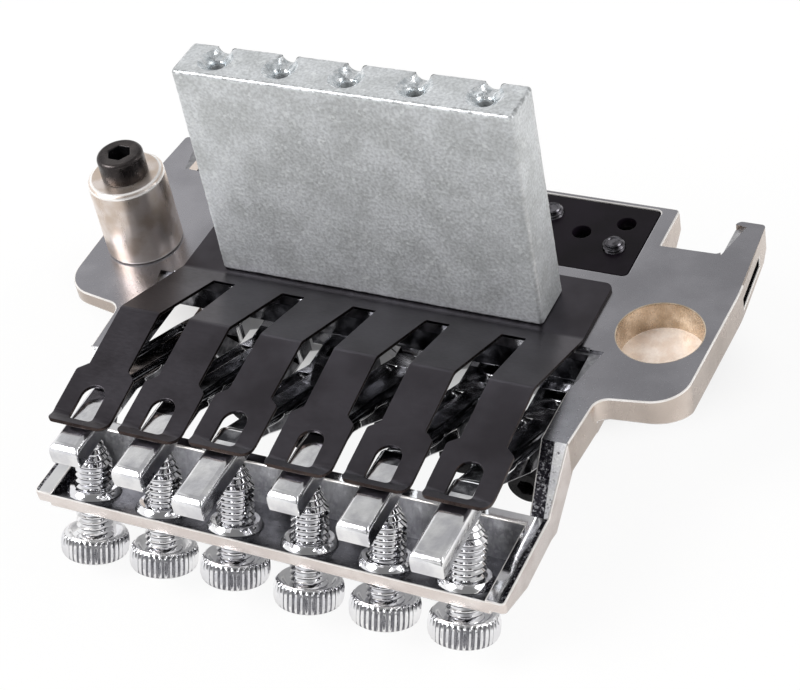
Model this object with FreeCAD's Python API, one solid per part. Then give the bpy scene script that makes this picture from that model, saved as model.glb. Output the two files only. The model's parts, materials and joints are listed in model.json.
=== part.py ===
import FreeCAD, Part
import math
import os

# Frame: millimetres. X along the row of tuners, Y toward the neck, Z out of the
# underside of the base plate. The pieces are drawn with that underside in Z = 0 and
# saved with the pivot line, through both knife edges, in Y = 0 and Z = 0.

overrun = 2.0
full_turn = 360
quarter_turn = 90
hex_sides = 6

# string layout
string_count = 6
string_pitch = 10.8
intonation = (0.0, -2.0, -5.2, -0.3, -2.8, -5.2)

# base plate, plan
plate_thick = 5.0
plate_front = 39.3
front_edge_thick = 3.0
front_bevel_run = 3.0
notch_wall = 2.3
notch_width = 8.2
notch_floor = 31.6
prong_front = 38.8
prong_width = 3.9
wing_bulge = 1.0
wing_wide_y = 25.0
wing_taper = 0.6
wing_rear = 3.2
root_wall = 4.2
root_y = 1.6
rail_wall = 3.6
shelf_wall = 2.6
edge_round = 0.6
notch_round = 0.9
wing_side_round = 30.0
wing_corner_round = 5.2
root_round = 2.0
rail_round = 6.0

# base plate, side view
crease_one = -6.9
crease_two = -12.9
rail_top = -7.6
shelf_rear = -27.3
shelf_rear_low = -9.4
rail_rise_y = -21.0
rail_low = -11.4
slope_foot = -11.7
slope_foot_low = -11.2
wing_end = -6.6
right_bevel_tilt = 14.0
right_root_edge = 3.5
right_tip_edge = 3.7
left_bevel_tilt = 31.0
left_root_edge = 2.4
left_tip_edge = 0.8
facet_width = 0.65
facet_depth = 2.0
facet_margin = 1.0
facet_start_share = 0.15

# shelf between the rails: a trough with its floor square to the tuners
floor_drop = 0.7
floor_thick = 2.0
wall_top_y = -14.4
wall_low = -10.2
valley_y = -16.5
wall_foot_y = -15.2
trough_end = 0.6

# window, reliefs and saddle-plate recess
window_gap = 0.8
window_front = 8.8
window_chamfer = 1.3
relief_depth = 0.7
relief_front = 9.8
relief_reach = 2.0
relief_rear = 1.2
recess_margin = 3.8
recess_rear = 24.4
recess_front = 38.5
recess_depth = 1.7
recess_round = 0.8

# wing features
pocket_wall = 2.0
socket_y = 15.1
pocket_radius = 5.6
pocket_depth = 4.2
dimple_radius = 3.6
dimple_depth = 0.35
blade_low = -3.8
blade_thick = 1.6
blade_rear = 26.2
blade_front = 34.7
blade_short = 0.9
blade_inset = 0.5
knife_edge = 32.4
knife_bevel = 0.6
fit = 0.04

# saddle plate and saddle screws
saddle_plate_sink = 0.1
saddle_plate_gap = 0.1
row_rear = 29.9
row_front = 34.8
row_mid = 31.8
tapped_radius = 1.3
screw_radius = 1.5
screw_clear = 1.7
screw_end = 0.9
screw_head_radius = 2.7
screw_head = 2.6
hex_share = 0.52
hex_depth_share = 0.6
hold_down_rows = ("front", "front", "rear", "front", "front", "rear")

# sustain block
block_half = 24.0
block_rear = 11.9
block_thick = 7.25
block_top = 33.8
block_draft = 0.45
block_round = 0.6
hook_count = 5
hook_pitch = 9.5
hook_radius = 0.95
hook_depth = 8.0
hook_point = 0.6
funnel_radius = 2.4
funnel_depth = 1.6
hook_slot = 1.05
block_screw_pitch = 16.0
block_screw_count = 3
block_screw_radius = 1.9
block_screw_head = 3.7
block_screw_rise = 14.0

# leaf spring
sheet = 0.5
spring_margin = 3.0
spring_front = 22.1
spring_corner = 1.2
crank_y = 10.9
gap_front = 8.2
ridge_y = -4.1
ridge_z = 5.3
press_y = -21.5
tip_y = -23.3
tip_rise = 0.7
tip_round = 1.3
bend_radius = 1.6
press_radius = 1.2
finger_root = 3.7
finger_waist = 3.05
finger_wide = 4.45
finger_tip = 4.2
shoulder_y = -13.4
shoulder_run = 1.1
flare_y = -20.6
eye_half = 1.75
eye_front = -16.4
eye_rear = -21.9
press_gap = 0.04

# arm socket
barrel_radius = 5.5
barrel_top = 12.2
barrel_edge = 0.5
neck_radius = 4.2
neck_end = -9.4
arm_bore = 3.0
arm_bore_top = 5.0
nut_radius = 6.6
nut_low = -8.6
cap_radius = 3.3
cap_height = 3.6
cap_shank = 2.45
cap_shank_length = 5.4
cap_edge = 0.35

# fine tuners: an axis tilted back from Z, through a point on the shelf
tuner_tilt = 24.5
tuner_y = -23.3
tuner_z = -8.8
tuner_settings = (8.0, 7.4, 6.5, 7.2, 6.8, 6.5)
knob_radius = 4.55
knob_half = 1.85
knob_shoulder = 4.15
knob_crown = 1.5
knob_rim = 3.7
knob_face = 3.3
knob_belly = 0.9
dish_radius = 2.95
dish_depth = 0.7
shank_radius = 2.45
cone_start = 12.4
ball_radius = 0.9
ball_centre = 15.0
flange_radius = 3.75
flange_top_radius = 3.2
flange_top = 0.25
sleeve_radius = 2.9
sleeve_depth = 1.1
bush_bore = 2.53
tuner_clear = 2.65

# saddles
foot_half = 4.75
foot_rear = 14.0
foot_front = 42.0
foot_thick = 2.8
slot_rear = 33.1
slot_front = 39.3
cheek_inner = 3.15
cheek_rear = 20.2
cheek_front = 30.2
cheek_step_z = -11.5
cheek_peak_y = 24.6
cheek_peak = -19.2
nose_top = -19.8
nose_rear = 28.3
nose_round = 1.2
groove_radius = 0.5

# pivot pins and levers
pin_y = 24.4
pin_z = -13.0
pin_radius = 1.25
pin_bore = 1.3
pin_half = 4.6
hub_radius = 3.4
hub_half = 3.0
box_half = 3.9
box_rear = 10.5
box_front = 19.2
box_top = -8.8
box_low = -16.6
box_slope_y = 12.9
box_slope_z = -11.6
hub_low = -15.4
thread_boss = 3.0
thread_boss_rear = 5.5
slope_start = 11.5
slope_knee = 7.0
slope_knee_z = -6.5
slope_half = 3.4
taper_start = -4.0
taper_end = -9.5
under_knee = 4.6
under_knee_z = -8.9
under_start_z = -11.9
tail_half = 2.2
tail_end = -26.6
tail_top = 2.35
tail_low = -0.55
tail_rise_y = -13.3
tail_fall_y = -11.5
tail_edge = 0.8
tail_nose = 2.1
tip_gap = 0.08
flute_radius = 0.75
flute_x = 2.1

# clamp blocks and string-lock screws, along a tilted line in each lever
lock_tilt = 2.0
lock_y = 13.2
lock_z = -11.7
cavity_half = 2.6
cavity_rear = -3.0
cavity_front = 4.0
cavity_top = 1.9
cavity_low = -8.0
clamp_half = 2.45
clamp_rear = -1.6
clamp_front = 2.8
clamp_top = 1.7
clamp_low = -1.6
lock_radius = 2.0
lock_bore = 2.06
lock_gap = 0.05
lock_length = 8.2
lock_head_radius = 2.6
lock_head = 3.2

# widths that follow from the row of strings, outward from the outer pair
outer_string = (string_count - 1) / 2 * string_pitch
spring_half = outer_string + spring_margin
recess_half = outer_string + recess_margin
window_half = outer_string + slope_half + window_gap
shelf_half = window_half + shelf_wall
rail_half = window_half + rail_wall
root_half = window_half + root_wall
socket_x = window_half + pocket_wall + pocket_radius
notch_inner = recess_half + notch_wall
notch_outer = notch_inner + notch_width
blade_inner = notch_inner + blade_short
wing_tip_half = notch_outer + prong_width
wing_half = wing_tip_half + wing_bulge
wing_rear_half = wing_half - wing_taper

X_AXIS = FreeCAD.Vector(1, 0, 0)
Z_AXIS = FreeCAD.Vector(0, 0, 1)


def vec(x, y, z):
    return FreeCAD.Vector(x, y, z)


def save(name, shape):
    os.makedirs("parts", exist_ok=True)
    placed = shape.copy()
    placed.translate(vec(0, -knife_edge, -blade_low - blade_thick / 2))
    placed.exportStep("parts/" + name + ".step")


def string_x(index):
    return (index - (string_count - 1) / 2) * string_pitch


def rounded_edges(points, radii, closed):
    """Lines through the points, with a tangent arc in place of each corner that has a radius."""
    count = len(points)
    starts, ends, edges = [], [], []
    arcs = []
    for k, here in enumerate(points):
        at_end = not closed and k in (0, count - 1)
        before = points[k - 1] - here
        after = points[(k + 1) % count] - here
        turn = 0 if at_end else math.pi - before.getAngle(after)
        if at_end or not radii[k] or turn == 0:
            starts.append(here)
            ends.append(here)
            arcs.append(None)
            continue
        reach = min(radii[k] * math.tan(turn / 2), before.Length / 2, after.Length / 2)
        radius = reach / math.tan(turn / 2)
        before.normalize()
        after.normalize()
        inward = before + after
        inward.normalize()
        middle = here + inward * (radius / math.cos(turn / 2) - radius)
        starts.append(here + before * reach)
        ends.append(here + after * reach)
        arcs.append(middle)
    last = count if closed else count - 1
    for k in range(count):
        if arcs[k] is not None:
            edges.append(Part.Arc(starts[k], arcs[k], ends[k]).toShape())
        if k < last:
            edges.append(Part.makeLine(ends[k], starts[(k + 1) % count]))
    return edges


def plan_prism(points, radii, low, high):
    """A prism on an outline in plan."""
    outline = [vec(x, y, low) for x, y in points]
    wire = Part.Wire(rounded_edges(outline, radii, True))
    return Part.Face(wire).extrude(Z_AXIS * (high - low))


def side_prism(points, half, radii=None, centre=0):
    """A prism on an outline seen from the side, as wide as twice half."""
    outline = [vec(centre - half, y, z) for y, z in points]
    corners = radii if radii else [0] * len(points)
    wire = Part.Wire(rounded_edges(outline, corners, True))
    return Part.Face(wire).extrude(X_AXIS * (half + half))


def block_between(low, high):
    size = high - low
    return Part.makeBox(size.x, size.y, size.z, low)


def mirrored(points, radii):
    """A right-hand half outline, front to rear, carried round the left-hand side."""
    left = [(-x, y) for x, y in reversed(points)]
    return points + left, radii + list(reversed(radii))


def hex_pocket(centre, radius, depth):
    """A hexagonal hole, radius to the corners, downward from the centre of its mouth."""
    corner = 2 * math.pi / hex_sides
    corners = [
        centre + vec(radius * math.cos(k * corner), radius * math.sin(k * corner), 0)
        for k in range(hex_sides)
    ]
    wire = Part.makePolygon(corners + corners[:1])
    return Part.Face(wire).extrude(Z_AXIS * -depth)


# Fine-tuner axis


def tuner_axis():
    tilt = math.radians(tuner_tilt)
    return vec(0, math.sin(tilt), math.cos(tilt))


def tuner_point(index, along):
    return vec(string_x(index), tuner_y, tuner_z) + tuner_axis() * along


def tuner_rod(index, radius, low, high):
    return Part.makeCylinder(radius, high - low, tuner_point(index, low), tuner_axis())


# Levers lie at the angle at which each tail rests on its own tuner


def pin_place(index):
    return vec(string_x(index), pin_y + intonation[index], pin_z)


def ball_place(index):
    return tuner_point(index, ball_centre - tuner_settings[index])


def lever_angle(index):
    ball = ball_place(index) - pin_place(index)
    height = tail_low - pin_z - ball_radius - tip_gap
    return math.asin(height / math.hypot(ball.y, ball.z)) - math.atan2(ball.z, -ball.y)


def tail_height(index, y):
    angle = lever_angle(index)
    pin = pin_place(index)
    rise = tail_top - pin_z
    return pin.z + (rise + (y - pin.y) * math.sin(angle)) / math.cos(angle)


def on_lever(shape, index):
    """A shape drawn for an unshifted lever, carried to its string and its angle."""
    placed = shape.copy()
    placed.rotate(vec(0, pin_y, pin_z), X_AXIS, math.degrees(lever_angle(index)))
    placed.translate(vec(string_x(index), intonation[index], 0))
    return placed


def on_saddle(shape, index):
    placed = shape.copy()
    placed.translate(vec(string_x(index), intonation[index], 0))
    return placed


def hold_down_y(index):
    return row_rear if hold_down_rows[index] == "rear" else row_front


# Base plate


def plate_blank():
    right = [
        (notch_inner, plate_front),
        (notch_inner, notch_floor),
        (notch_outer, notch_floor),
        (notch_outer, prong_front),
        (wing_tip_half, prong_front),
        (wing_half, wing_wide_y),
        (wing_rear_half, wing_rear),
        (root_half, root_y),
        (rail_half, crease_one),
        (shelf_half, crease_two),
        (shelf_half, shelf_rear),
    ]
    radii = [
        edge_round, 0, notch_round, notch_round, edge_round, wing_side_round,
        wing_corner_round, root_round, rail_round, rail_round, edge_round,
    ]
    points, corners = mirrored(right, radii)
    plan = plan_prism(points, corners, rail_low - overrun, overrun)
    side = [
        (plate_front + overrun, 0),
        (crease_one, 0),
        (crease_two, rail_top),
        (shelf_rear - overrun, rail_top),
        (shelf_rear - overrun, shelf_rear_low),
        (shelf_rear, shelf_rear_low),
        (rail_rise_y, rail_low),
        (slope_foot, slope_foot_low),
        (wing_end, -plate_thick),
        (plate_front - front_bevel_run, -plate_thick),
        (plate_front, -front_edge_thick),
        (plate_front + overrun, -front_edge_thick),
    ]
    return plan.common(side_prism(side, wing_half + overrun))


def flat_sided(first, second):
    """A solid between two outlines whose matching sides are parallel."""
    faces = [Part.Face(Part.makePolygon(outline + outline[:1])) for outline in (first, second)]
    for k, here in enumerate(first):
        after = (k + 1) % len(first)
        side = [here, first[after], second[after], second[k]]
        faces.append(Part.Face(Part.makePolygon(side + side[:1])))
    return Part.makeSolid(Part.makeShell(faces))


def wing_bevel(side, tilt, root_edge, tip_edge):
    """The tilted plane that thins one wing toward its rear edge, from its root out to its tip."""
    steep = math.tan(math.radians(tilt))
    far = root_y - overrun
    outlines = []
    for x, edge in ((root_half, root_edge), (wing_half + overrun, tip_edge)):
        near = root_y + (plate_thick + overrun - edge) / steep
        outlines.append([
            vec(side * x, far, -plate_thick - overrun),
            vec(side * x, far, steep * overrun - edge),
            vec(side * x, near, -plate_thick - overrun),
        ])
    return flat_sided(*outlines)


def prong_facet(side):
    """A facet ground on the inner edge of a prong, widest near its tip."""
    outlines = []
    for y, share in ((notch_floor, facet_start_share), (prong_front - facet_margin, 1)):
        width, depth = facet_width * share, facet_depth * share
        outlines.append([
            vec(side * (notch_outer - width), y, -depth - depth),
            vec(side * (notch_outer + width + width), y, depth),
            vec(side * (notch_outer - width), y, depth),
        ])
    return flat_sided(*outlines)


def window_cut():
    low = vec(-window_half, shelf_rear - overrun, rail_low - overrun)
    hole = block_between(low, vec(window_half, window_front, overrun))
    chamfer = [
        (window_front - overrun, overrun),
        (window_front - overrun, -window_chamfer),
        (window_front, -window_chamfer),
        (window_front + window_chamfer, 0),
        (window_front + window_chamfer, overrun),
    ]
    return hole.fuse(side_prism(chamfer, window_half))


def floor_height(y, drop):
    """Height of the plane square to the tuners that lies the given drop below their middle."""
    tilt = math.radians(tuner_tilt)
    return tuner_z - drop / math.cos(tilt) - (y - tuner_y) * math.tan(tilt)


def shelf():
    under = floor_drop + floor_thick
    body = [
        (crease_two, rail_top),
        (shelf_rear, rail_top),
        (shelf_rear, floor_height(shelf_rear, under)),
        (wall_foot_y, floor_height(wall_foot_y, under)),
        (crease_two, wall_low),
    ]
    far = shelf_rear - overrun
    trough = [
        (wall_top_y, overrun),
        (wall_top_y, rail_top),
        (valley_y, floor_height(valley_y, floor_drop)),
        (far, floor_height(far, floor_drop)),
        (far, overrun),
    ]
    return side_prism(body, window_half + trough_end).cut(side_prism(trough, window_half))


def relief_cut(side):
    outline = [
        (side * (window_half - overrun), relief_front),
        (side * (window_half + relief_reach), relief_front),
        (side * window_half, relief_rear),
        (side * (window_half - overrun), relief_rear),
    ]
    return plan_prism(outline, [0] * len(outline), -relief_depth, overrun)


def recess_cut():
    outline = [
        (-recess_half, recess_rear),
        (recess_half, recess_rear),
        (recess_half, recess_front),
        (-recess_half, recess_front),
    ]
    return plan_prism(outline, [recess_round] * len(outline), -recess_depth, overrun)


def blade_slot(side):
    inner = side * (blade_inner - fit)
    outer = side * (wing_half + overrun)
    low = vec(min(inner, outer), blade_rear - fit, blade_low - fit)
    high = vec(max(inner, outer), blade_front + fit, blade_low + blade_thick + fit)
    return block_between(low, high)


def pocket_cut():
    pocket = Part.makeCylinder(pocket_radius, pocket_depth + overrun, vec(socket_x, socket_y, -pocket_depth))
    floor = vec(socket_x, socket_y, -pocket_depth - dimple_depth)
    return pocket.fuse(Part.makeCone(0, dimple_radius, dimple_depth, floor))


def screw_holes():
    holes = []
    low = -plate_thick - overrun
    length = plate_thick + overrun + overrun
    for index in range(string_count):
        for row in (row_rear, row_front):
            holes.append(Part.makeCylinder(screw_clear, length, vec(string_x(index), row, low)))
    for x, y in block_screw_places():
        holes.append(Part.makeCylinder(block_screw_radius + fit, length, vec(x, y, low)))
        holes.append(countersink(x, y, fit))
    neck = Part.makeCylinder(neck_radius + fit, length, vec(-socket_x, socket_y, low))
    return holes + [neck]


def block_screw_places():
    middle = block_rear + block_thick / 2
    first = -(block_screw_count - 1) / 2
    return [((first + k) * block_screw_pitch, middle) for k in range(block_screw_count)]


def countersink(x, y, spare):
    depth = block_screw_head - block_screw_radius
    return Part.makeCone(
        block_screw_head + spare, block_screw_radius + spare, depth, vec(x, y, -plate_thick)
    )


def base_plate():
    plate = plate_blank()
    cuts = [window_cut(), recess_cut(), pocket_cut()]
    for side in (-1, 1):
        cuts += [relief_cut(side), blade_slot(side), prong_facet(side)]
    cuts.append(wing_bevel(1, right_bevel_tilt, right_root_edge, right_tip_edge))
    cuts.append(wing_bevel(-1, left_bevel_tilt, left_root_edge, left_tip_edge))
    plate = plate.cut(cuts + screw_holes()).fuse(shelf())
    bores = []
    for index in range(string_count):
        seat = -floor_drop - sleeve_depth - fit
        bores.append(tuner_rod(index, sleeve_radius + fit, seat, overrun))
        bores.append(tuner_rod(index, tuner_clear, seat - floor_thick, overrun))
    return plate.cut(bores).removeSplitter()


def knife_insert(side):
    """A hardened blade in the wing slot, its edge across the pivot notch."""
    outline = [
        (side * blade_inner, blade_rear),
        (side * (wing_tip_half - blade_inset), blade_rear),
        (side * (wing_tip_half - blade_inset), blade_front),
        (side * (notch_outer + notch_round), blade_front),
        (side * (notch_outer + notch_round), knife_edge),
        (side * blade_inner, knife_edge),
    ]
    blade = plan_prism(outline, [0] * len(outline), blade_low, blade_low + blade_thick)
    middle = blade_low + blade_thick / 2
    reach = notch_outer + notch_round
    cuts = []
    for face in (-1, 1):
        wedge = [
            (knife_edge - knife_bevel, middle + face * blade_thick / 2),
            (knife_edge, middle),
            (knife_edge + overrun, middle),
            (knife_edge + overrun, middle + face * blade_thick),
            (knife_edge - knife_bevel, middle + face * blade_thick),
        ]
        half = (reach - blade_inner + overrun) / 2
        cuts.append(side_prism(wedge, half, centre=side * (reach - half)))
    return blade.cut(cuts)


def saddle_plate():
    outline = [
        (-recess_half + saddle_plate_gap, recess_rear + saddle_plate_gap),
        (recess_half - saddle_plate_gap, recess_rear + saddle_plate_gap),
        (recess_half - saddle_plate_gap, recess_front - saddle_plate_gap),
        (-recess_half + saddle_plate_gap, recess_front - saddle_plate_gap),
    ]
    plate = plan_prism(outline, [recess_round] * len(outline), -recess_depth, -saddle_plate_sink)
    holes = []
    low = -recess_depth - overrun
    length = recess_depth + overrun + overrun
    for index in range(string_count):
        used = hold_down_y(index)
        for row in (row_rear, row_front):
            radius = screw_radius + fit if row == used else tapped_radius
            holes.append(Part.makeCylinder(radius, length, vec(string_x(index), row, low)))
        if index:
            between = string_x(index) - string_pitch / 2
            holes.append(Part.makeCylinder(tapped_radius, length, vec(between, row_mid, low)))
    return plate.cut(holes)


def saddle_screw(index):
    x, y = string_x(index), hold_down_y(index)
    seat = -plate_thick - foot_thick
    shank = Part.makeCylinder(screw_radius, screw_end - seat, vec(x, y, seat))
    head = Part.makeCylinder(screw_head_radius, screw_head, vec(x, y, seat - screw_head))
    depth = screw_head * hex_depth_share
    socket = hex_pocket(vec(x, y, seat - screw_head + depth), screw_head_radius * hex_share, depth + overrun)
    return shank.fuse(head).cut(socket)


def saddle_screws():
    return Part.makeCompound([saddle_screw(index) for index in range(string_count)])


# Sustain block


def hook_cut(x):
    """One spring-hook seat: a funnel and a drilled hole, open to the front face by a slot."""
    middle = block_rear + block_thick / 2
    hole = Part.makeCylinder(hook_radius, hook_depth + overrun, vec(x, middle, block_top - hook_depth))
    point = Part.makeCone(0, hook_radius, hook_point, vec(x, middle, block_top - hook_depth - hook_point))
    rim = funnel_radius * (funnel_depth + overrun) / funnel_depth
    funnel = Part.makeCone(0, rim, funnel_depth + overrun, vec(x, middle, block_top - funnel_depth))
    slot = Part.makeCylinder(hook_slot, block_thick, vec(x, middle, block_top), vec(0, 1, 0))
    return [hole.fuse(point), funnel, slot]


def sustain_block():
    front = block_rear + block_thick
    side = [
        (block_rear, sheet),
        (front, sheet),
        (front - block_draft, block_top),
        (block_rear + block_draft / 2, block_top),
    ]
    block = side_prism(side, block_half)
    upright = [e for e in block.Edges if abs(e.tangentAt(e.FirstParameter).z) > hex_share]
    block = block.makeFillet(block_round, upright)
    cuts = []
    first = -(hook_count - 1) / 2
    for k in range(hook_count):
        cuts += hook_cut((first + k) * hook_pitch)
    for x, y in block_screw_places():
        cuts.append(Part.makeCylinder(block_screw_radius + fit, block_screw_rise, vec(x, y, 0)))
    return block.cut(cuts)


def block_screws():
    screws = []
    for x, y in block_screw_places():
        low = vec(x, y, -plate_thick)
        shank = Part.makeCylinder(block_screw_radius, plate_thick + block_screw_rise - overrun, low)
        socket = hex_pocket(low + Z_AXIS * overrun, block_screw_radius * hex_share, overrun + overrun)
        screws.append(shank.fuse(countersink(x, y, 0)).cut(socket))
    return Part.makeCompound(screws)


# Leaf spring: a flat clamped under the block, a crank up to a ridge, then six
# fingers falling to their tails, each with shoulders, an arched eye and a curled tip


def ribbon(path, radii, half, centre):
    """A bent strip of the sheet: path is the lower face seen from the side."""
    low = [vec(centre - half, y, z) for y, z in path]
    normals = []
    for a, b in zip(low, low[1:]):
        run = b - a
        run.normalize()
        normals.append(vec(0, run.z, -run.y))
    high, low_radii, high_radii = [], [], []
    for k, here in enumerate(low):
        first, second = normals[max(k - 1, 0)], normals[min(k, len(normals) - 1)]
        mitre = first + second
        mitre.normalize()
        high.append(here + mitre * (sheet / mitre.dot(first)))
        ridge = first.y * second.z - first.z * second.y < 0
        low_radii.append(radii[k] if ridge else radii[k] + sheet)
        high_radii.append(radii[k] + sheet if ridge else radii[k])
    edges = rounded_edges(low, low_radii, False)
    edges += [Part.makeLine(low[-1], high[-1])]
    back = rounded_edges(list(reversed(high)), list(reversed(high_radii)), False)
    edges += back + [Part.makeLine(high[0], low[0])]
    return Part.Face(Part.Wire(edges)).extrude(X_AXIS * (half + half))


def finger_path(index):
    press = tail_height(index, press_y) + press_gap
    return [
        (spring_front, 0),
        (crank_y, 0),
        (ridge_y, ridge_z),
        (press_y, press),
        (tip_y, press + tip_rise),
    ]


def finger_plan(index):
    x = string_x(index)
    right = [
        (gap_front, finger_root),
        (ridge_y, finger_waist),
        (shoulder_y, finger_waist),
        (shoulder_y - shoulder_run, finger_wide),
        (flare_y, finger_wide),
        (tip_y - fit, finger_tip),
    ]
    outline = [(x + w, y) for y, w in right] + [(x - w, y) for y, w in reversed(right)]
    half = [0, bend_radius, edge_round, edge_round, tip_round, tip_round]
    return plan_prism(outline, half + list(reversed(half)), -overrun, ridge_z + overrun)


def finger_eye(index):
    x = string_x(index)
    outline = [
        (x - eye_half, eye_rear),
        (x + eye_half, eye_rear),
        (x + eye_half, eye_front),
        (x - eye_half, eye_front),
    ]
    arch = eye_half - fit
    return plan_prism(outline, [edge_round, edge_round, arch, arch], -overrun, ridge_z + overrun)


def spring_flat():
    width = spring_half + overrun
    flat = ribbon(finger_path(0), [0, bend_radius, bend_radius, press_radius, 0], width, 0)
    outline = [
        (-spring_half, gap_front),
        (spring_half, gap_front),
        (spring_half, spring_front),
        (-spring_half, spring_front),
    ]
    corners = [0, 0, spring_corner, spring_corner]
    return flat.common(plan_prism(outline, corners, -overrun, ridge_z + overrun))


def leaf_spring():
    spring = spring_flat()
    ahead = block_between(
        vec(-spring_half, shoulder_y, -overrun), vec(spring_half, gap_front, ridge_z + overrun)
    )
    behind = block_between(
        vec(-wing_half, tip_y - overrun, -overrun), vec(wing_half, shoulder_y, ridge_z + overrun)
    )
    keep = ahead.fuse(behind)
    fingers = []
    for index in range(string_count):
        strip = ribbon(
            finger_path(index),
            [0, bend_radius, bend_radius, press_radius, 0],
            string_pitch / 2,
            string_x(index),
        )
        fingers.append(strip.common(finger_plan(index)).common(keep).cut(finger_eye(index)))
    holes = [
        Part.makeCylinder(block_screw_radius + fit, overrun + overrun, vec(x, y, -overrun))
        for x, y in block_screw_places()
    ]
    return spring.fuse(fingers).cut(holes).removeSplitter()


# Arm socket on the left wing


def arm_socket():
    place = vec(-socket_x, socket_y, 0)
    barrel = Part.makeCylinder(barrel_radius, barrel_top - barrel_edge, place)
    edge = Part.makeCone(
        barrel_radius, barrel_radius - barrel_edge, barrel_edge, place + Z_AXIS * (barrel_top - barrel_edge)
    )
    neck = Part.makeCylinder(neck_radius, -neck_end, place + Z_AXIS * neck_end)
    bore = Part.makeCylinder(arm_bore, arm_bore_top - neck_end + overrun, place + Z_AXIS * (neck_end - overrun))
    tapped = Part.makeCylinder(cap_shank + fit, barrel_top, place + Z_AXIS * arm_bore_top)
    return barrel.fuse([edge, neck]).cut([bore, tapped]).removeSplitter()


def arm_socket_nut():
    place = vec(-socket_x, socket_y, nut_low)
    height = -plate_thick - nut_low
    nut = hex_pocket(place + Z_AXIS * height, nut_radius, height)
    bore = Part.makeCylinder(neck_radius + fit, height + overrun + overrun, place - Z_AXIS * overrun)
    return nut.cut(bore)


def arm_socket_screw():
    seat = vec(-socket_x, socket_y, barrel_top)
    head = Part.makeCylinder(cap_radius, cap_height - cap_edge, seat)
    edge = Part.makeCone(
        cap_radius, cap_radius - cap_edge, cap_edge, seat + Z_AXIS * (cap_height - cap_edge)
    )
    shank = Part.makeCylinder(cap_shank, cap_shank_length, seat - Z_AXIS * cap_shank_length)
    socket = hex_pocket(
        seat + Z_AXIS * (cap_height + overrun), cap_radius * hex_share, cap_height * hex_depth_share + overrun
    )
    return head.fuse([edge, shank]).cut(socket).removeSplitter()


# Fine tuners


def tuner_bushes():
    bushes = []
    for index in range(string_count):
        low = -floor_drop - sleeve_depth
        sleeve = tuner_rod(index, sleeve_radius, low, flange_top)
        height = flange_top + floor_drop
        seat = tuner_point(index, -floor_drop)
        flange = Part.makeCone(flange_radius, flange_top_radius, height, seat, tuner_axis())
        bore = tuner_rod(index, bush_bore, low - overrun, flange_top + overrun)
        bushes.append(sleeve.fuse(flange).cut(bore))
    return Part.makeCompound(bushes)


def tuner_profile():
    """Half section of a tuner, knob centre at the origin, radius along X and shank along Z."""
    lean = math.atan2(shank_radius - ball_radius, ball_centre - cone_start)
    touch = vec(ball_radius * math.cos(lean), 0, ball_centre + ball_radius * math.sin(lean))
    bulge = (math.pi / 2 + lean) / 2
    middle = vec(ball_radius * math.cos(bulge), 0, ball_centre + ball_radius * math.sin(bulge))
    top = vec(0, 0, ball_centre + ball_radius)
    points = [
        vec(0, 0, -knob_half),
        vec(knob_face, 0, -knob_half),
        vec(knob_shoulder, 0, -knob_crown),
        vec(knob_radius, 0, -knob_belly),
        vec(knob_radius, 0, knob_belly),
        vec(knob_shoulder, 0, knob_crown),
        vec(knob_rim, 0, knob_half),
        vec(dish_radius, 0, knob_half - dish_depth),
        vec(shank_radius, 0, knob_half - dish_depth),
        vec(shank_radius, 0, cone_start),
        touch,
    ]
    edges = [Part.makeLine(a, b) for a, b in zip(points, points[1:])]
    edges += [Part.Arc(touch, middle, top).toShape(), Part.makeLine(top, points[0])]
    return Part.Face(Part.Wire(edges))


def fine_tuner(index):
    tuner = tuner_profile().revolve(vec(0, 0, 0), Z_AXIS, full_turn)
    tuner.rotate(vec(0, 0, 0), X_AXIS, -tuner_tilt)
    tuner.translate(tuner_point(index, -tuner_settings[index]))
    return tuner


# Saddles, pins and levers, drawn on the line X = 0 and carried to their strings


def saddle_blank():
    top = -plate_thick
    seat = top - foot_thick
    foot = block_between(vec(-foot_half, foot_rear, seat), vec(foot_half, foot_front, top))
    outline = [
        (cheek_rear, top),
        (cheek_rear, cheek_step_z),
        (cheek_peak_y, cheek_peak),
        (nose_rear, nose_top),
        (cheek_front, nose_top),
        (cheek_front, top),
    ]
    corners = [0, nose_round, nose_round, nose_round, nose_round, 0]
    cheeks = side_prism(outline, foot_half, corners)
    between = block_between(
        vec(-cheek_inner, cheek_rear - overrun, nose_top - overrun), vec(cheek_inner, nose_rear, seat)
    )
    return foot.fuse(cheeks.cut(between))


def saddle():
    body = saddle_blank()
    low = -plate_thick - foot_thick - overrun
    high = -plate_thick + overrun
    slot_half = screw_clear
    outline = [
        (-slot_half, slot_rear - slot_half),
        (slot_half, slot_rear - slot_half),
        (slot_half, slot_front + slot_half),
        (-slot_half, slot_front + slot_half),
    ]
    slot = plan_prism(outline, [slot_half - fit] * len(outline), low, high)
    pin = Part.makeCylinder(
        pin_radius + fit, foot_half + foot_half + overrun, vec(-foot_half - overrun / 2, pin_y, pin_z), X_AXIS
    )
    groove = Part.makeCylinder(
        groove_radius, cheek_front - cheek_rear, vec(0, cheek_rear + overrun, nose_top), vec(0, 1, 0)
    )
    return body.cut([slot, pin, groove]).removeSplitter()


def pivot_pin():
    return Part.makeCylinder(pin_radius, pin_half + pin_half, vec(-pin_half, pin_y, pin_z), X_AXIS)


def along_lock(shape):
    """A shape drawn along Y from the origin, laid on the tilted line of the lock screw."""
    placed = shape.copy()
    placed.rotate(vec(0, 0, 0), X_AXIS, lock_tilt)
    placed.translate(vec(0, lock_y, lock_z))
    return placed


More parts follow.
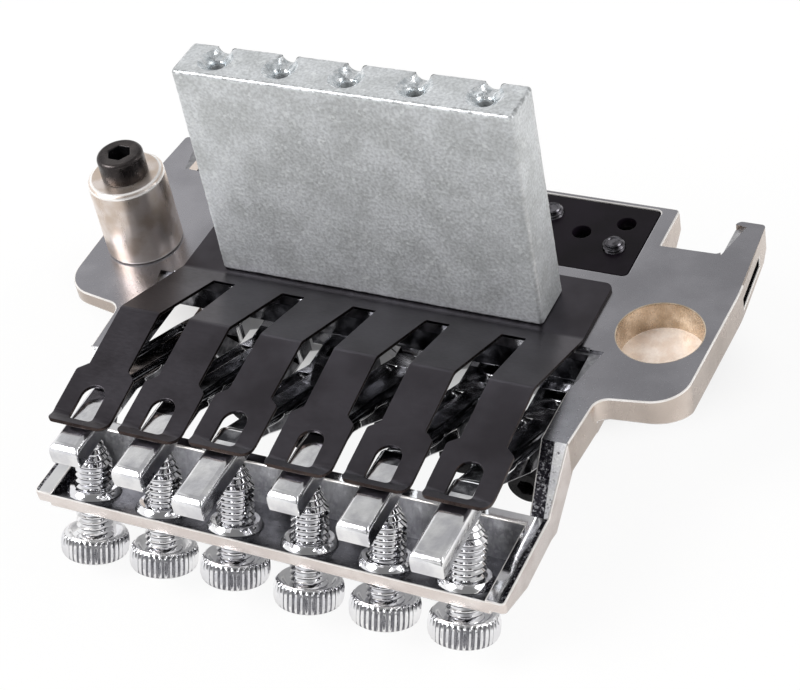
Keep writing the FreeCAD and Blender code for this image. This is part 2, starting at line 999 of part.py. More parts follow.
def lever_hub():
    eye = Part.makeCylinder(hub_radius, hub_half + hub_half, vec(-hub_half, pin_y, pin_z), X_AXIS)
    neck = block_between(
        vec(-hub_half, box_front - overrun, hub_low), vec(hub_half, pin_y, pin_z + hub_radius)
    )
    outline = [
        (box_rear, box_top),
        (box_front, box_top),
        (box_front, box_low),
        (box_slope_y, box_slope_z),
        (box_rear, box_slope_z),
    ]
    housing = side_prism(outline, box_half)
    boss = Part.makeCylinder(thread_boss, lock_y - thread_boss_rear, vec(0, 0, 0), vec(0, -1, 0))
    return eye.fuse([neck, housing, along_lock(boss)])


def lever_tail():
    """The sloping body that rises through the window and narrows to the tail bar."""
    outline = [
        (slope_start, box_top),
        (slope_knee, slope_knee_z),
        (tail_rise_y, tail_top),
        (tail_end, tail_top),
        (tail_end, tail_low),
        (tail_fall_y, tail_low),
        (under_knee, under_knee_z),
        (thread_boss_rear, under_start_z),
        (slope_start, under_start_z),
    ]
    corners = [0, bend_radius, bend_radius, tail_nose, 0, bend_radius, bend_radius, 0, 0]
    body = side_prism(outline, slope_half, corners)
    right = [
        (slope_half, slope_start + overrun),
        (slope_half, taper_start),
        (tail_half, taper_end),
        (tail_half, tail_end - overrun),
    ]
    points, radii = mirrored(right, [0, bend_radius, bend_radius, 0])
    body = body.common(plan_prism(points, radii, box_low, tail_top + overrun))
    cuts = [tail_edge_cut(side) for side in (-1, 1)] + [flute_cut(side) for side in (-1, 1)]
    return body.cut(cuts)


def tail_edge_cut(side):
    """What the rounding along one upper edge of the tail bar takes away."""
    inner, low, high = tail_half - tail_edge, tail_top - tail_edge, tail_top + overrun
    bulge = tail_edge * math.sin(math.pi / 4)
    start = vec(side * inner, 0, tail_top)
    middle = vec(side * (inner + bulge), 0, low + bulge)
    end = vec(side * tail_half, 0, low)
    outside = [
        end,
        vec(side * (tail_half + overrun), 0, low),
        vec(side * (tail_half + overrun), 0, high),
        vec(side * inner, 0, high),
        start,
    ]
    edges = [Part.Arc(start, middle, end).toShape()]
    edges += [Part.makeLine(a, b) for a, b in zip(outside, outside[1:])]
    face = Part.Face(Part.Wire(edges))
    face.translate(vec(0, tail_end - overrun, 0))
    return face.extrude(vec(0, tail_rise_y - tail_end + overrun, 0))


def flute_cut(side):
    """A rounded flute down the sloping body, parallel to its upper face."""
    start = vec(side * flute_x, slope_knee, slope_knee_z)
    run = vec(side * flute_x, tail_rise_y, tail_top) - start
    return Part.makeCylinder(flute_radius, run.Length, start, run)


def lever():
    body = lever_hub().fuse(lever_tail())
    cavity = block_between(
        vec(-cavity_half, cavity_rear, cavity_low), vec(cavity_half, cavity_front, cavity_top)
    )
    thread = Part.makeCylinder(lock_bore, box_front, vec(0, 0, 0), vec(0, -1, 0))
    axle = Part.makeCylinder(
        pin_bore, hub_half + hub_half + overrun, vec(-hub_half - overrun / 2, pin_y, pin_z), X_AXIS
    )
    return body.cut([along_lock(cavity), along_lock(thread), axle]).removeSplitter()


def clamp_block():
    return along_lock(
        block_between(vec(-clamp_half, clamp_rear, clamp_low), vec(clamp_half, clamp_front, clamp_top))
    )


def lock_screw():
    back = vec(0, -1, 0)
    tip = clamp_rear - lock_gap
    shank = Part.makeCylinder(lock_radius, lock_length, vec(0, tip, 0), back)
    head = Part.makeCylinder(lock_head_radius, lock_head, vec(0, tip - lock_length, 0), back)
    depth = lock_head * hex_depth_share
    socket = hex_pocket(vec(0, 0, depth), lock_head_radius * hex_share, depth + overrun)
    socket.rotate(vec(0, 0, 0), X_AXIS, -quarter_turn)
    socket.translate(vec(0, tip - lock_length - lock_head, 0))
    return along_lock(shank.fuse(head).cut(socket))


def main():
    save("base_plate", base_plate())
    save("knife_edge_left", knife_insert(-1))
    save("knife_edge_right", knife_insert(1))
    save("saddle_plate", saddle_plate())
    save("saddle_screws", saddle_screws())
    save("sustain_block", sustain_block())
    save("block_screws", block_screws())
    save("leaf_spring", leaf_spring())
    save("arm_socket", arm_socket())
    save("arm_socket_nut", arm_socket_nut())
    save("arm_socket_screw", arm_socket_screw())
    save("tuner_bushes", tuner_bushes())
    shapes = (saddle(), pivot_pin(), lever(), clamp_block(), lock_screw())
    seat, pin, arm, clamp, screw = shapes
    for index in range(string_count):
        number = str(index + 1)
        save("fine_tuner_" + number, fine_tuner(index))
        save("saddle_" + number, on_saddle(seat, index))
        save("pivot_pin_" + number, on_saddle(pin, index))
        save("lever_" + number, on_lever(arm, index))
        save("clamp_block_" + number, on_lever(clamp, index))
        save("lock_screw_" + number, on_lever(screw, index))


main()
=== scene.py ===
"""Looks of a guitar tremolo bridge that lies underside up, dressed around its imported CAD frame."""

import json
import logging
import math
from dataclasses import dataclass, field
from enum import Enum
from typing import Callable, Iterable, Optional, Sequence, Union

import bmesh
import bpy
from bmesh.types import BMEdge, BMesh, BMFace
from bpy.types import Material, NodeSocket, NodeTree, Object, World, bpy_prop_collection
from mathutils import Matrix, Vector, noise


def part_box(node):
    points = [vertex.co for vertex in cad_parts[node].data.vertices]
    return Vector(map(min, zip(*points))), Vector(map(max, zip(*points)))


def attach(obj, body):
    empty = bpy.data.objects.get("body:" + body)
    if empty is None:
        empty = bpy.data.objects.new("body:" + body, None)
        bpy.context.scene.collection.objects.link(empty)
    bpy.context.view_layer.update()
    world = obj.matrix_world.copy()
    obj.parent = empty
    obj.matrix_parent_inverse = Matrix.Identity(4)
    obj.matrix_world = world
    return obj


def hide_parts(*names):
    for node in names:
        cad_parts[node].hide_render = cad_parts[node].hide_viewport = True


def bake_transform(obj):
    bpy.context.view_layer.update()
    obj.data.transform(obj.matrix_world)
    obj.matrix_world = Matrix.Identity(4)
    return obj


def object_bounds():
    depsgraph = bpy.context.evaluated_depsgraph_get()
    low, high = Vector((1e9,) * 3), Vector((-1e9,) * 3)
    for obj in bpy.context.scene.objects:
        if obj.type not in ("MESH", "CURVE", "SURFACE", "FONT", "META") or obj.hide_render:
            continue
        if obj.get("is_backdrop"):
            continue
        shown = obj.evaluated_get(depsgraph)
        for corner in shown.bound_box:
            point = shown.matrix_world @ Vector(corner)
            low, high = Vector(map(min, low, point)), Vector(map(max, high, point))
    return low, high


LOG = logging.getLogger("tremolo_bridge")
MM = 0.001
PER_MM = 1000.0
STRINGS = 6
PITCH_MM = 10.8
POCKET_MM = (38.8, -17.3)
ACROSS = Vector((1.0, 0.0, 0.0))
AHEAD = Vector((0.0, 1.0, 0.0))
UP = Vector((0.0, 0.0, 1.0))
# Points nearer than this are one point, and faces that turn by less than this are one face.
WELD_MM = 0.002
FLAT_DEG = 0.4
# Cuts pass through points that lie this near to them.
SNAP_MM = 0.01
# What lies this near to a line or a level counts as on it.
NEAR_MM = 0.05
# How far a face's normal rises or leans before the face counts as level, slanting or looking down.
LEVEL = 0.95
SLANTING = 0.3
LEANING = 0.5
LOOKING_DOWN = -0.3

WHITE = (1.0, 1.0, 1.0, 1.0)
# Settings that several nodes share.
SOFT_STEP = {"interpolation_type": "SMOOTHSTEP"}
COLOURS = {"data_type": "RGBA"}
TIMES = {"operation": "MULTIPLY"}
# The middle of a noise's range, where most of its values lie, taken narrow or wide.
NARROW = {"From Min": 0.35, "From Max": 0.65}
WIDE = {"From Min": 0.3, "From Max": 0.7}
# The wave texture goes through this many radians in each unit of length.
WAVE_RATE = 20.0

Pattern = tuple[NodeSocket, NodeSocket, NodeSocket]

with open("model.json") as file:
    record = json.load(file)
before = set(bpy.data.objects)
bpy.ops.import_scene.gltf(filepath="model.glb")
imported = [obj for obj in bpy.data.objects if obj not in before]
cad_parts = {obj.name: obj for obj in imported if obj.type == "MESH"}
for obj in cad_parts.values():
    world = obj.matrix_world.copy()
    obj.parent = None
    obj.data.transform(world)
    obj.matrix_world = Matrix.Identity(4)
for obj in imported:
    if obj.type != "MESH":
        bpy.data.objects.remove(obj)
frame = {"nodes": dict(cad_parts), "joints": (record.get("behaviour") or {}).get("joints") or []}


def linear(hex_colour: str) -> tuple[float, float, float, float]:
    """Turns an sRGB hex colour into linear light.

    Args:
        hex_colour: Six hex digits after a hash mark.

    Returns:
        Red, green, blue and an alpha of one.
    """
    parts = [int(hex_colour[k:k + 2], 16) / 255 for k in (1, 3, 5)]
    flat = [c / 12.92 if c <= 0.04045 else ((c + 0.055) / 1.055) ** 2.4 for c in parts]
    return (flat[0], flat[1], flat[2], 1.0)


def per_metre(size_mm: float) -> float:
    """Gives the texture scale whose features are about this many millimetres across."""
    return PER_MM / size_mm


def empty_tree(owner: Union[Material, World]) -> NodeTree:
    """Turns a material's or a world's nodes on and clears them.

    Args:
        owner: The material or the world.

    Returns:
        Its node tree, with no nodes in it.
    """
    owner.use_nodes = True
    owner.node_tree.nodes.clear()
    return owner.node_tree


def add_node(
    tree: NodeTree, kind: str, inputs: Optional[dict] = None, settings: Optional[dict] = None
) -> bpy_prop_collection:
    """Adds one node with its settings, values and links.

    Args:
        tree: The node tree that takes the node.
        kind: The node's type name, without the ShaderNode that it begins with.
        inputs: Input sockets by name or index, each with a value or a socket to link from.
        settings: Properties of the node by name.

    Returns:
        The new node's output sockets.
    """
    node = tree.nodes.new("ShaderNode" + kind)
    for key, value in (settings or {}).items():
        setattr(node, key, value)
    for key, value in (inputs or {}).items():
        if isinstance(value, NodeSocket):
            tree.links.new(value, node.inputs[key])
        else:
            node.inputs[key].default_value = value
    return node.outputs


class Slot(Enum):
    """The record's material slots."""

    SATIN_NICKEL = "satin_nickel"
    HARDENED_STEEL = "hardened_steel"
    BLACK_PLATE = "black_plate"
    BLACK_OXIDE = "black_oxide"
    CAST_ZINC = "cast_zinc"
    BLUED_SPRING = "blued_spring"
    WARM_NICKEL = "warm_nickel"
    CHROME = "chrome"


@dataclass(frozen=True)
class MetalFinish:
    """A metal surface whose colour clouds, whose gloss varies and whose grain stands up a little."""

    name: str  # what the material is and how it was made
    pale: str  # colour of its bright patches
    deep: str  # colour of its dull patches
    cloud_mm: float  # width of a patch
    gloss: float  # roughness where it is best polished
    dull: float  # roughness where it is worn or matt
    grain_mm: float  # width of one grain, drawn no finer than the picture can show
    relief_mm: float  # height of the grain
    stretch: tuple[float, float, float] = (1.0, 1.0, 1.0)  # under one where the grain is drawn out
    metallic: float = 1.0  # share of bare metal under any film
    film: float = 0.5  # strength of the film's own reflection

    def material(self) -> Material:
        """Makes the finish's material at its first use.

        Returns:
            The material.
        """
        made = bpy.data.materials.get(self.name)
        if made:
            return made
        made = bpy.data.materials.new(self.name)
        tree = empty_tree(made)
        colour, roughness, height = self.pattern(tree, add_node(tree, "TexCoord")["Object"])
        bump = add_node(tree, "Bump", {"Strength": 1.0, "Distance": self.relief_mm * MM, "Height": height})
        surface = add_node(
            tree,
            "BsdfPrincipled",
            {
                "Base Color": colour,
                "Roughness": roughness,
                "Metallic": self.metallic,
                "Specular IOR Level": self.film,
                "Normal": bump["Normal"],
            },
        )
        add_node(tree, "OutputMaterial", {"Surface": surface["BSDF"]})
        return made

    def pattern(self, tree: NodeTree, place: NodeSocket) -> Pattern:
        """Draws the clouds and the grain.

        Args:
            tree: The material's nodes.
            place: The surface point.

        Returns:
            Colour, roughness and height.
        """
        scale = per_metre(self.cloud_mm)
        cloud = add_node(tree, "TexNoise", {"Vector": place, "Scale": scale, "Detail": 4.0})
        drawn = add_node(tree, "Mapping", {"Vector": place, "Scale": self.stretch})["Vector"]
        scale = per_metre(self.grain_mm)
        grain = add_node(tree, "TexNoise", {"Vector": drawn, "Scale": scale, "Detail": 3.0})["Fac"]
        patch = add_node(tree, "MapRange", {"Value": cloud["Fac"], **NARROW}, SOFT_STEP)["Result"]
        colour = add_node(tree, "Mix", {0: patch, 6: linear(self.deep), 7: linear(self.pale)}, COLOURS)
        gloss = add_node(
            tree, "MapRange", {"Value": grain, **WIDE, "To Min": self.gloss, "To Max": self.dull}
        )
        return colour[2], gloss["Result"], grain


@dataclass(frozen=True)
class CastFinish(MetalFinish):
    """A rough or cast surface: clouds and grain, with flecks where single crystals catch the light."""

    fleck: str = "#c9cece"  # colour of a crystal face that catches the light
    fleck_mm: float = 0.9  # width of a crystal
    fleck_share: float = 0.5  # how strongly the crystals show
    fleck_from: float = 0.3  # how rare they are, from none left out at nought
    fleck_fade: float = 0.2  # how gently they fade in
    patches: float = 3.0  # patches of crystals in the width of a cloud
    mottle: float = 0.2  # how far the grain darkens the colour

    def pattern(self, tree: NodeTree, place: NodeSocket) -> Pattern:
        """Adds the crystal flecks to the clouds and the grain.

        Args:
            tree: The material's nodes.
            place: The surface point.

        Returns:
            Colour, roughness and height.
        """
        colour, roughness, height = super().pattern(tree, place)
        crystals = add_node(
            tree, "TexVoronoi", {"Vector": place, "Scale": per_metre(self.fleck_mm), "Randomness": 1.0}
        )
        bright = add_node(tree, "SeparateColor", {"Color": crystals["Color"]})["Red"]
        scale = per_metre(self.cloud_mm / self.patches)
        patchy = add_node(tree, "TexNoise", {"Vector": place, "Scale": scale, "Detail": 5.0})["Fac"]
        span = {
            "Value": add_node(tree, "Math", {0: bright, 1: patchy}, TIMES)["Value"],
            "From Min": self.fleck_from,
            "From Max": self.fleck_from + self.fleck_fade,
            "To Max": self.fleck_share,
        }
        share = add_node(tree, "MapRange", span)["Result"]
        span = {"Value": height, **NARROW, "To Min": 1.0 - self.mottle, "To Max": 1.0}
        shade = add_node(tree, "MapRange", span)["Result"]
        darken = {**COLOURS, "blend_type": "MULTIPLY"}
        mottled = add_node(tree, "Mix", {0: 1.0, 6: colour, 7: shade}, darken)[2]
        flecked = add_node(tree, "Mix", {0: share, 6: mottled, 7: linear(self.fleck)}, COLOURS)
        return flecked[2], roughness, height


@dataclass(frozen=True)
class TurnedFinish(MetalFinish):
    """A face cut on a lathe: rings about a vertical axis, drawn coarse enough to show."""

    centre_mm: tuple[float, float] = POCKET_MM  # where the axis stands in plan
    ring_mm: float = 2.0  # distance from ring to ring

    def pattern(self, tree: NodeTree, place: NodeSocket) -> Pattern:
        """Lays the tool's rings over the clouds.

        Args:
            tree: The material's nodes.
            place: The surface point.

        Returns:
            Colour, roughness and height.
        """
        colour, roughness, grain = super().pattern(tree, place)
        shift = (-self.centre_mm[0] * MM, -self.centre_mm[1] * MM, 0.0)
        centred = add_node(tree, "Mapping", {"Vector": place, "Location": shift})["Vector"]
        rings = add_node(
            tree,
            "TexWave",
            {
                "Vector": centred,
                "Scale": per_metre(self.ring_mm) * math.tau / WAVE_RATE,
                "Distortion": 1.5,
                "Detail": 2.0,
            },
            {"wave_type": "RINGS", "rings_direction": "Z"},
        )
        height = add_node(tree, "Math", {0: rings["Fac"], 1: grain}, {"operation": "ADD"})
        return colour, roughness, height["Value"]


# Satin nickel over ground steel: an even grey sheen, with faint clouds where hands have been.
SATIN_NICKEL = MetalFinish(
    "satin_nickel_on_ground_steel", "#a9a8ad", "#9a999e",
    cloud_mm=9.0, gloss=0.22, dull=0.28, grain_mm=0.5, relief_mm=0.0003,
)
# Nickel polished on a wheel along the wings' edges: warm, nearly a mirror, with long soft waves.
EDGE_NICKEL = MetalFinish(
    "polished_nickel_edge", "#d6cac1", "#c4b8af",
    cloud_mm=9.0, gloss=0.2, dull=0.3, grain_mm=1.2, relief_mm=0.002, stretch=(1.0, 1.0, 0.4),
)
# The same polish, paler, along the rear lip and the prongs' tips.
LIP_NICKEL = MetalFinish(
    "pale_nickel_lip", "#efe7e3", "#e0d6d1",
    cloud_mm=4.0, gloss=0.16, dull=0.26, grain_mm=0.8, relief_mm=0.003, stretch=(0.4, 1.0, 1.0), metallic=0.8,
)
# The rounded corners of plate and barrel: a near-white, scarcely metal line that shines whatever it mirrors,
# a painted highlight.
PAINTED_HIGHLIGHT_NICKEL = MetalFinish(
    "nickel_corner_painted_highlight", "#fbf8f5", "#f0ece8",
    cloud_mm=3.0, gloss=0.12, dull=0.22, grain_mm=0.6, relief_mm=0.001, metallic=0.5,
)
# Chrome over a slope that was only sand-cast: frosty white with dark specks.
GRAINY_CHROME = CastFinish(
    "chrome_on_sand_grain", "#ffffff", "#f2f2f5",
    cloud_mm=2.0, gloss=0.12, dull=0.34, grain_mm=0.3, relief_mm=0.05, metallic=0.1,
    fleck="#4a4950", fleck_mm=0.26, fleck_share=0.85, fleck_from=0.42, mottle=0.08,
)
# The same sand grain, dark with bright specks, on the rails' inner sides and parts of their slopes.
DARK_GRAIN = CastFinish(
    "dark_sand_grain", "#45434b", "#2b2930",
    cloud_mm=1.6, gloss=0.16, dull=0.36, grain_mm=0.3, relief_mm=0.05,
    fleck="#d9d9de", fleck_mm=0.22, fleck_share=0.7, fleck_from=0.3, mottle=0.4,
)
# Bright chrome plate: a clear cold mirror, with the slight waves of hand buffing.
CHROME = MetalFinish(
    "bright_chrome_plate", "#f3f3f4", "#e6e6e9",
    cloud_mm=6.0, gloss=0.04, dull=0.1, grain_mm=1.6, relief_mm=0.008,
)
# The levers' tails: polished by hand, so that the plate waves a little.
TAIL_CHROME = MetalFinish(
    "hand_polished_chrome", "#f3f3f4", "#d8d8dc",
    cloud_mm=3.0, gloss=0.08, dull=0.16, grain_mm=2.4, relief_mm=0.06,
)
# The saddles', levers' and window walls' faces inside the window: chrome darkened by position, a painted
# shade.
PAINTED_SHADE_CHROME = MetalFinish(
    "chrome_darkened_as_painted_shade", "#88888c", "#3c3c40",
    cloud_mm=1.8, gloss=0.1, dull=0.2, grain_mm=1.4, relief_mm=0.03,
)
# The bottoms of flutes and threads: greyer, rougher plate.
GROOVE_CHROME = MetalFinish(
    "grey_chrome_in_grooves", "#8e8e92", "#707075",
    cloud_mm=1.2, gloss=0.2, dull=0.32, grain_mm=0.4, relief_mm=0.003,
)
# Chrome plate left unbuffed on the trough's wall: satin, with faint streaks down the wall.
WALL_CHROME = CastFinish(
    "unbuffed_chrome_wall", "#b3b3b6", "#9b9b9f",
    cloud_mm=2.2, gloss=0.36, dull=0.5, grain_mm=0.4, relief_mm=0.012, stretch=(1.0, 0.4, 0.4),
    metallic=0.9, fleck="#c6c6c9", fleck_mm=0.4, fleck_share=0.4, mottle=0.25,
)
# Chrome plate in the trough's floor: a dark smoky mirror, a little pitted.
TROUGH_CHROME = MetalFinish(
    "smoky_chrome_floor", "#68686e", "#515157",
    cloud_mm=2.5, gloss=0.14, dull=0.28, grain_mm=0.4, relief_mm=0.004,
)
# Zinc alloy as it comes from the mould: cold even grey, finely grained and flecked with crystals.
CAST_ZINC = CastFinish(
    "raw_cast_zinc_alloy", "#dcdfe1", "#cbcecf",
    cloud_mm=4.5, gloss=0.4, dull=0.58, grain_mm=0.4, relief_mm=0.04, metallic=0.55,
    fleck="#e9ecec", fleck_mm=0.45, fleck_share=0.5, fleck_from=0.4, mottle=0.26,
)
# The casting's corners, rubbed bright and chipped.
RUBBED_ZINC = CastFinish(
    "rubbed_cast_zinc_corner", "#dfe2e4", "#b4b7b8",
    cloud_mm=1.0, gloss=0.32, dull=0.48, grain_mm=0.5, relief_mm=0.05, metallic=0.6,
    fleck="#f6f8f8", fleck_mm=0.5, fleck_share=0.7, fleck_from=0.4, mottle=0.3,
)
# The same alloy where a tool broke it open: brighter, with large crystal faces.
BROKEN_ZINC = CastFinish(
    "broken_cast_zinc_alloy", "#eef3f6", "#c3cace",
    cloud_mm=1.0, gloss=0.16, dull=0.36, grain_mm=0.6, relief_mm=0.12, metallic=0.75,
    fleck="#ffffff", fleck_mm=0.6, mottle=0.3,
)
# Spring steel blued in oil: a slate black satin with a fine rolled grain across the sheet.
BLUED_STEEL = MetalFinish(
    "oil_blued_spring_steel", "#4e4b50", "#423f43",
    cloud_mm=8.0, gloss=0.28, dull=0.38, grain_mm=0.3, relief_mm=0.0012, stretch=(0.35, 1.0, 1.0),
)
# The sheared edge of that sheet, where the heat left it brown.
BLUED_EDGE = MetalFinish(
    "heat_browned_spring_edge", "#4a403d", "#2f2827",
    cloud_mm=2.5, gloss=0.24, dull=0.36, grain_mm=0.4, relief_mm=0.003,
)
# Steel under satin black lacquer: deep, with a purple cast and soft reflections.
BLACK_LACQUER = MetalFinish(
    "satin_black_lacquered_steel", "#1c161e", "#140f15",
    cloud_mm=6.0, gloss=0.28, dull=0.38, grain_mm=0.4, relief_mm=0.002, metallic=0.1, film=0.12,
)
# Steel screws in black oxide: near black, slightly oily.
BLACK_OXIDE = MetalFinish(
    "black_oxide_screw_steel", "#242325", "#161517",
    cloud_mm=1.5, gloss=0.24, dull=0.38, grain_mm=0.25, relief_mm=0.003, metallic=0.6, film=0.3,
)
# The same oxide rubbed by use: charcoal with a satin sheen.
WORN_OXIDE = MetalFinish(
    "rubbed_black_oxide", "#4f4a49", "#393535",
    cloud_mm=1.8, gloss=0.24, dull=0.36, grain_mm=0.3, relief_mm=0.003, stretch=(1.0, 1.0, 0.3), metallic=0.9,
)
# The screws' free ends, with the oxide worn off the crests.
CREST_OXIDE = MetalFinish(
    "oxide_worn_off_threads", "#77757a", "#4a484c",
    cloud_mm=0.8, gloss=0.16, dull=0.3, grain_mm=0.3, relief_mm=0.004,
)
# Nickel plate on a turned brass barrel: champagne, satin, drawn along its length.
BARREL_NICKEL = MetalFinish(
    "warm_nickel_on_turned_brass", "#eadfd8", "#d2c1b2",
    cloud_mm=3.2, gloss=0.27, dull=0.32, grain_mm=0.7, relief_mm=0.0004, stretch=(1.0, 1.0, 0.12),
    metallic=0.85,
)
# Bare machined pocket wall: pale bronze, with the rings of the cutter.
POCKET_BRONZE = TurnedFinish(
    "machined_pocket_bronze", "#dccbb6", "#b7a48d",
    cloud_mm=2.2, gloss=0.18, dull=0.3, grain_mm=0.4, relief_mm=0.006, metallic=0.7, ring_mm=2.8274,
)
# The pocket's floor: nearly white and scarcely metal, so that it stays bright where the walls shade it,
# painted light with a rosy cast.
POCKET_FLOOR = TurnedFinish(
    "pocket_floor_painted_light", "#fff3e8", "#eedccd",
    cloud_mm=1.6, gloss=0.2, dull=0.34, grain_mm=0.5, relief_mm=0.01, metallic=0.05, ring_mm=3.7699,
)
# Hardened steel, ground: plain grey with a fine grain.
GROUND_STEEL = MetalFinish(
    "hardened_ground_steel", "#a6a6aa", "#8c8c91",
    cloud_mm=3.0, gloss=0.18, dull=0.3, grain_mm=0.25, relief_mm=0.003, stretch=(0.3, 1.0, 1.0),
)

Rule = Callable[[BMFace], MetalFinish]


def weld(shape: BMesh) -> None:
    """Merges the points of a mesh that lie on each other."""
    bmesh.ops.remove_doubles(shape, verts=shape.verts, dist=WELD_MM)


def cut(
    shape: BMesh, spot: Sequence[float], outward: Sequence[float], clear: bool = False, snap_mm: float = 0.0
) -> None:
    """Cuts all faces of a mesh along a plane.

    Args:
        shape: The mesh to cut.
        spot: A point of the plane.
        outward: The way that the plane looks.
        clear: Whether what lies outward of the plane goes.
        snap_mm: How near a point lies that the cut passes through.
    """
    bmesh.ops.bisect_plane(
        shape,
        geom=shape.verts[:] + shape.edges[:] + shape.faces[:],
        dist=snap_mm,
        plane_co=spot,
        plane_no=outward,
        clear_outer=clear,
    )


def close_ends(shape: BMesh) -> None:
    """Fills every open end of a mesh."""
    bmesh.ops.holes_fill(shape, edges=[e for e in shape.edges if e.is_boundary], sides=0)


def bevelled(shape: BMesh, edges: list[BMEdge], width_mm: float, segments: int) -> list[BMFace]:
    """Bevels edges of a mesh.

    Args:
        shape: The mesh to change.
        edges: The edges to bevel.
        width_mm: How far the bevel reaches from the edge.
        segments: Number of faces across it.

    Returns:
        The new faces.
    """
    made = bmesh.ops.bevel(
        shape,
        geom=edges,
        offset=width_mm,
        offset_type="OFFSET",
        segments=segments,
        profile=0.5,
        affect="EDGES",
        clamp_overlap=False,
        material=-1,
    )
    return made["faces"]


def section_line(shape: BMesh, section: Iterable[tuple[float, float]]) -> list:
    """Draws a line through points of radius and height, and gives its points and edges."""
    points = [shape.verts.new((radius, 0.0, height)) for radius, height in section]
    return points + [shape.edges.new(pair) for pair in zip(points, points[1:])]


def turned(section: Iterable[tuple[float, float]], steps: int) -> BMesh:
    """Spins a half section about Z.

    Args:
        section: Radius and height of each point, from one end of the axis to the other.
        steps: Number of facets round the axis.

    Returns:
        A closed mesh, facing outwards.
    """
    shape = bmesh.new()
    line = section_line(shape, section)
    bmesh.ops.spin(
        shape, geom=line, cent=(0.0, 0.0, 0.0), axis=UP, angle=math.tau, steps=steps, use_merge=True
    )
    weld(shape)
    bmesh.ops.recalc_face_normals(shape, faces=shape.faces)
    return shape


def threaded(crest: float, root: float, pitch: float, low: float, high: float, steps: int = 28) -> BMesh:
    """Sweeps a screw thread about Z and closes both ends.

    Args:
        crest: Radius of the crest.
        root: Radius of the root.
        pitch: Rise of one turn.
        low: Height of the lower end.
        high: Height of the upper end.
        steps: Facets in one turn.

    Returns:
        A closed mesh, facing outwards.
    """
    shape = bmesh.new()
    flat = pitch / 8
    below, above = (pitch - flat) / 2, (pitch + flat) / 2
    section = ((root, 0.0), (root, flat), (crest, below), (crest, above), (root, pitch))
    start = low - pitch - pitch
    line = section_line(shape, [(radius, start + rise) for radius, rise in section])
    # The sweep starts two turns below the lower end and passes the upper end by at least one.
    turns = math.ceil((high - low) / pitch) + 3
    bmesh.ops.spin(
        shape,
        geom=line,
        cent=(0.0, 0.0, 0.0),
        axis=UP,
        dvec=(0.0, 0.0, pitch / steps),
        angle=math.tau * turns,
        steps=steps * turns,
    )
    weld(shape)
    for height, outward in ((low, -UP), (high, UP)):
        cut(shape, (0.0, 0.0, height), outward, clear=True)
    close_ends(shape)
    bmesh.ops.recalc_face_normals(shape, faces=shape.faces)
    return shape


def join(target: BMesh, other: BMesh) -> None:
    """Adds a second mesh to the first and frees it.

    Args:
        target: The mesh that grows.
        other: The mesh that is used up.
    """
    spare = bpy.data.meshes.new("spare")
    other.to_mesh(spare)
    other.free()
    target.from_mesh(spare)
    bpy.data.meshes.remove(spare)


def string_x(number: int) -> float:
    """Gives a string's place along the row, in millimetres, from string one at the left."""
    return (number - (STRINGS + 1) / 2) * PITCH_MM


def axis_mm(node: str) -> Vector:
    """Finds where a round upright node's axis stands in plan, in millimetres."""
    low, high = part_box(node)
    return Vector(((low[0] + high[0]) / 2 * PER_MM, (low[1] + high[1]) / 2 * PER_MM))


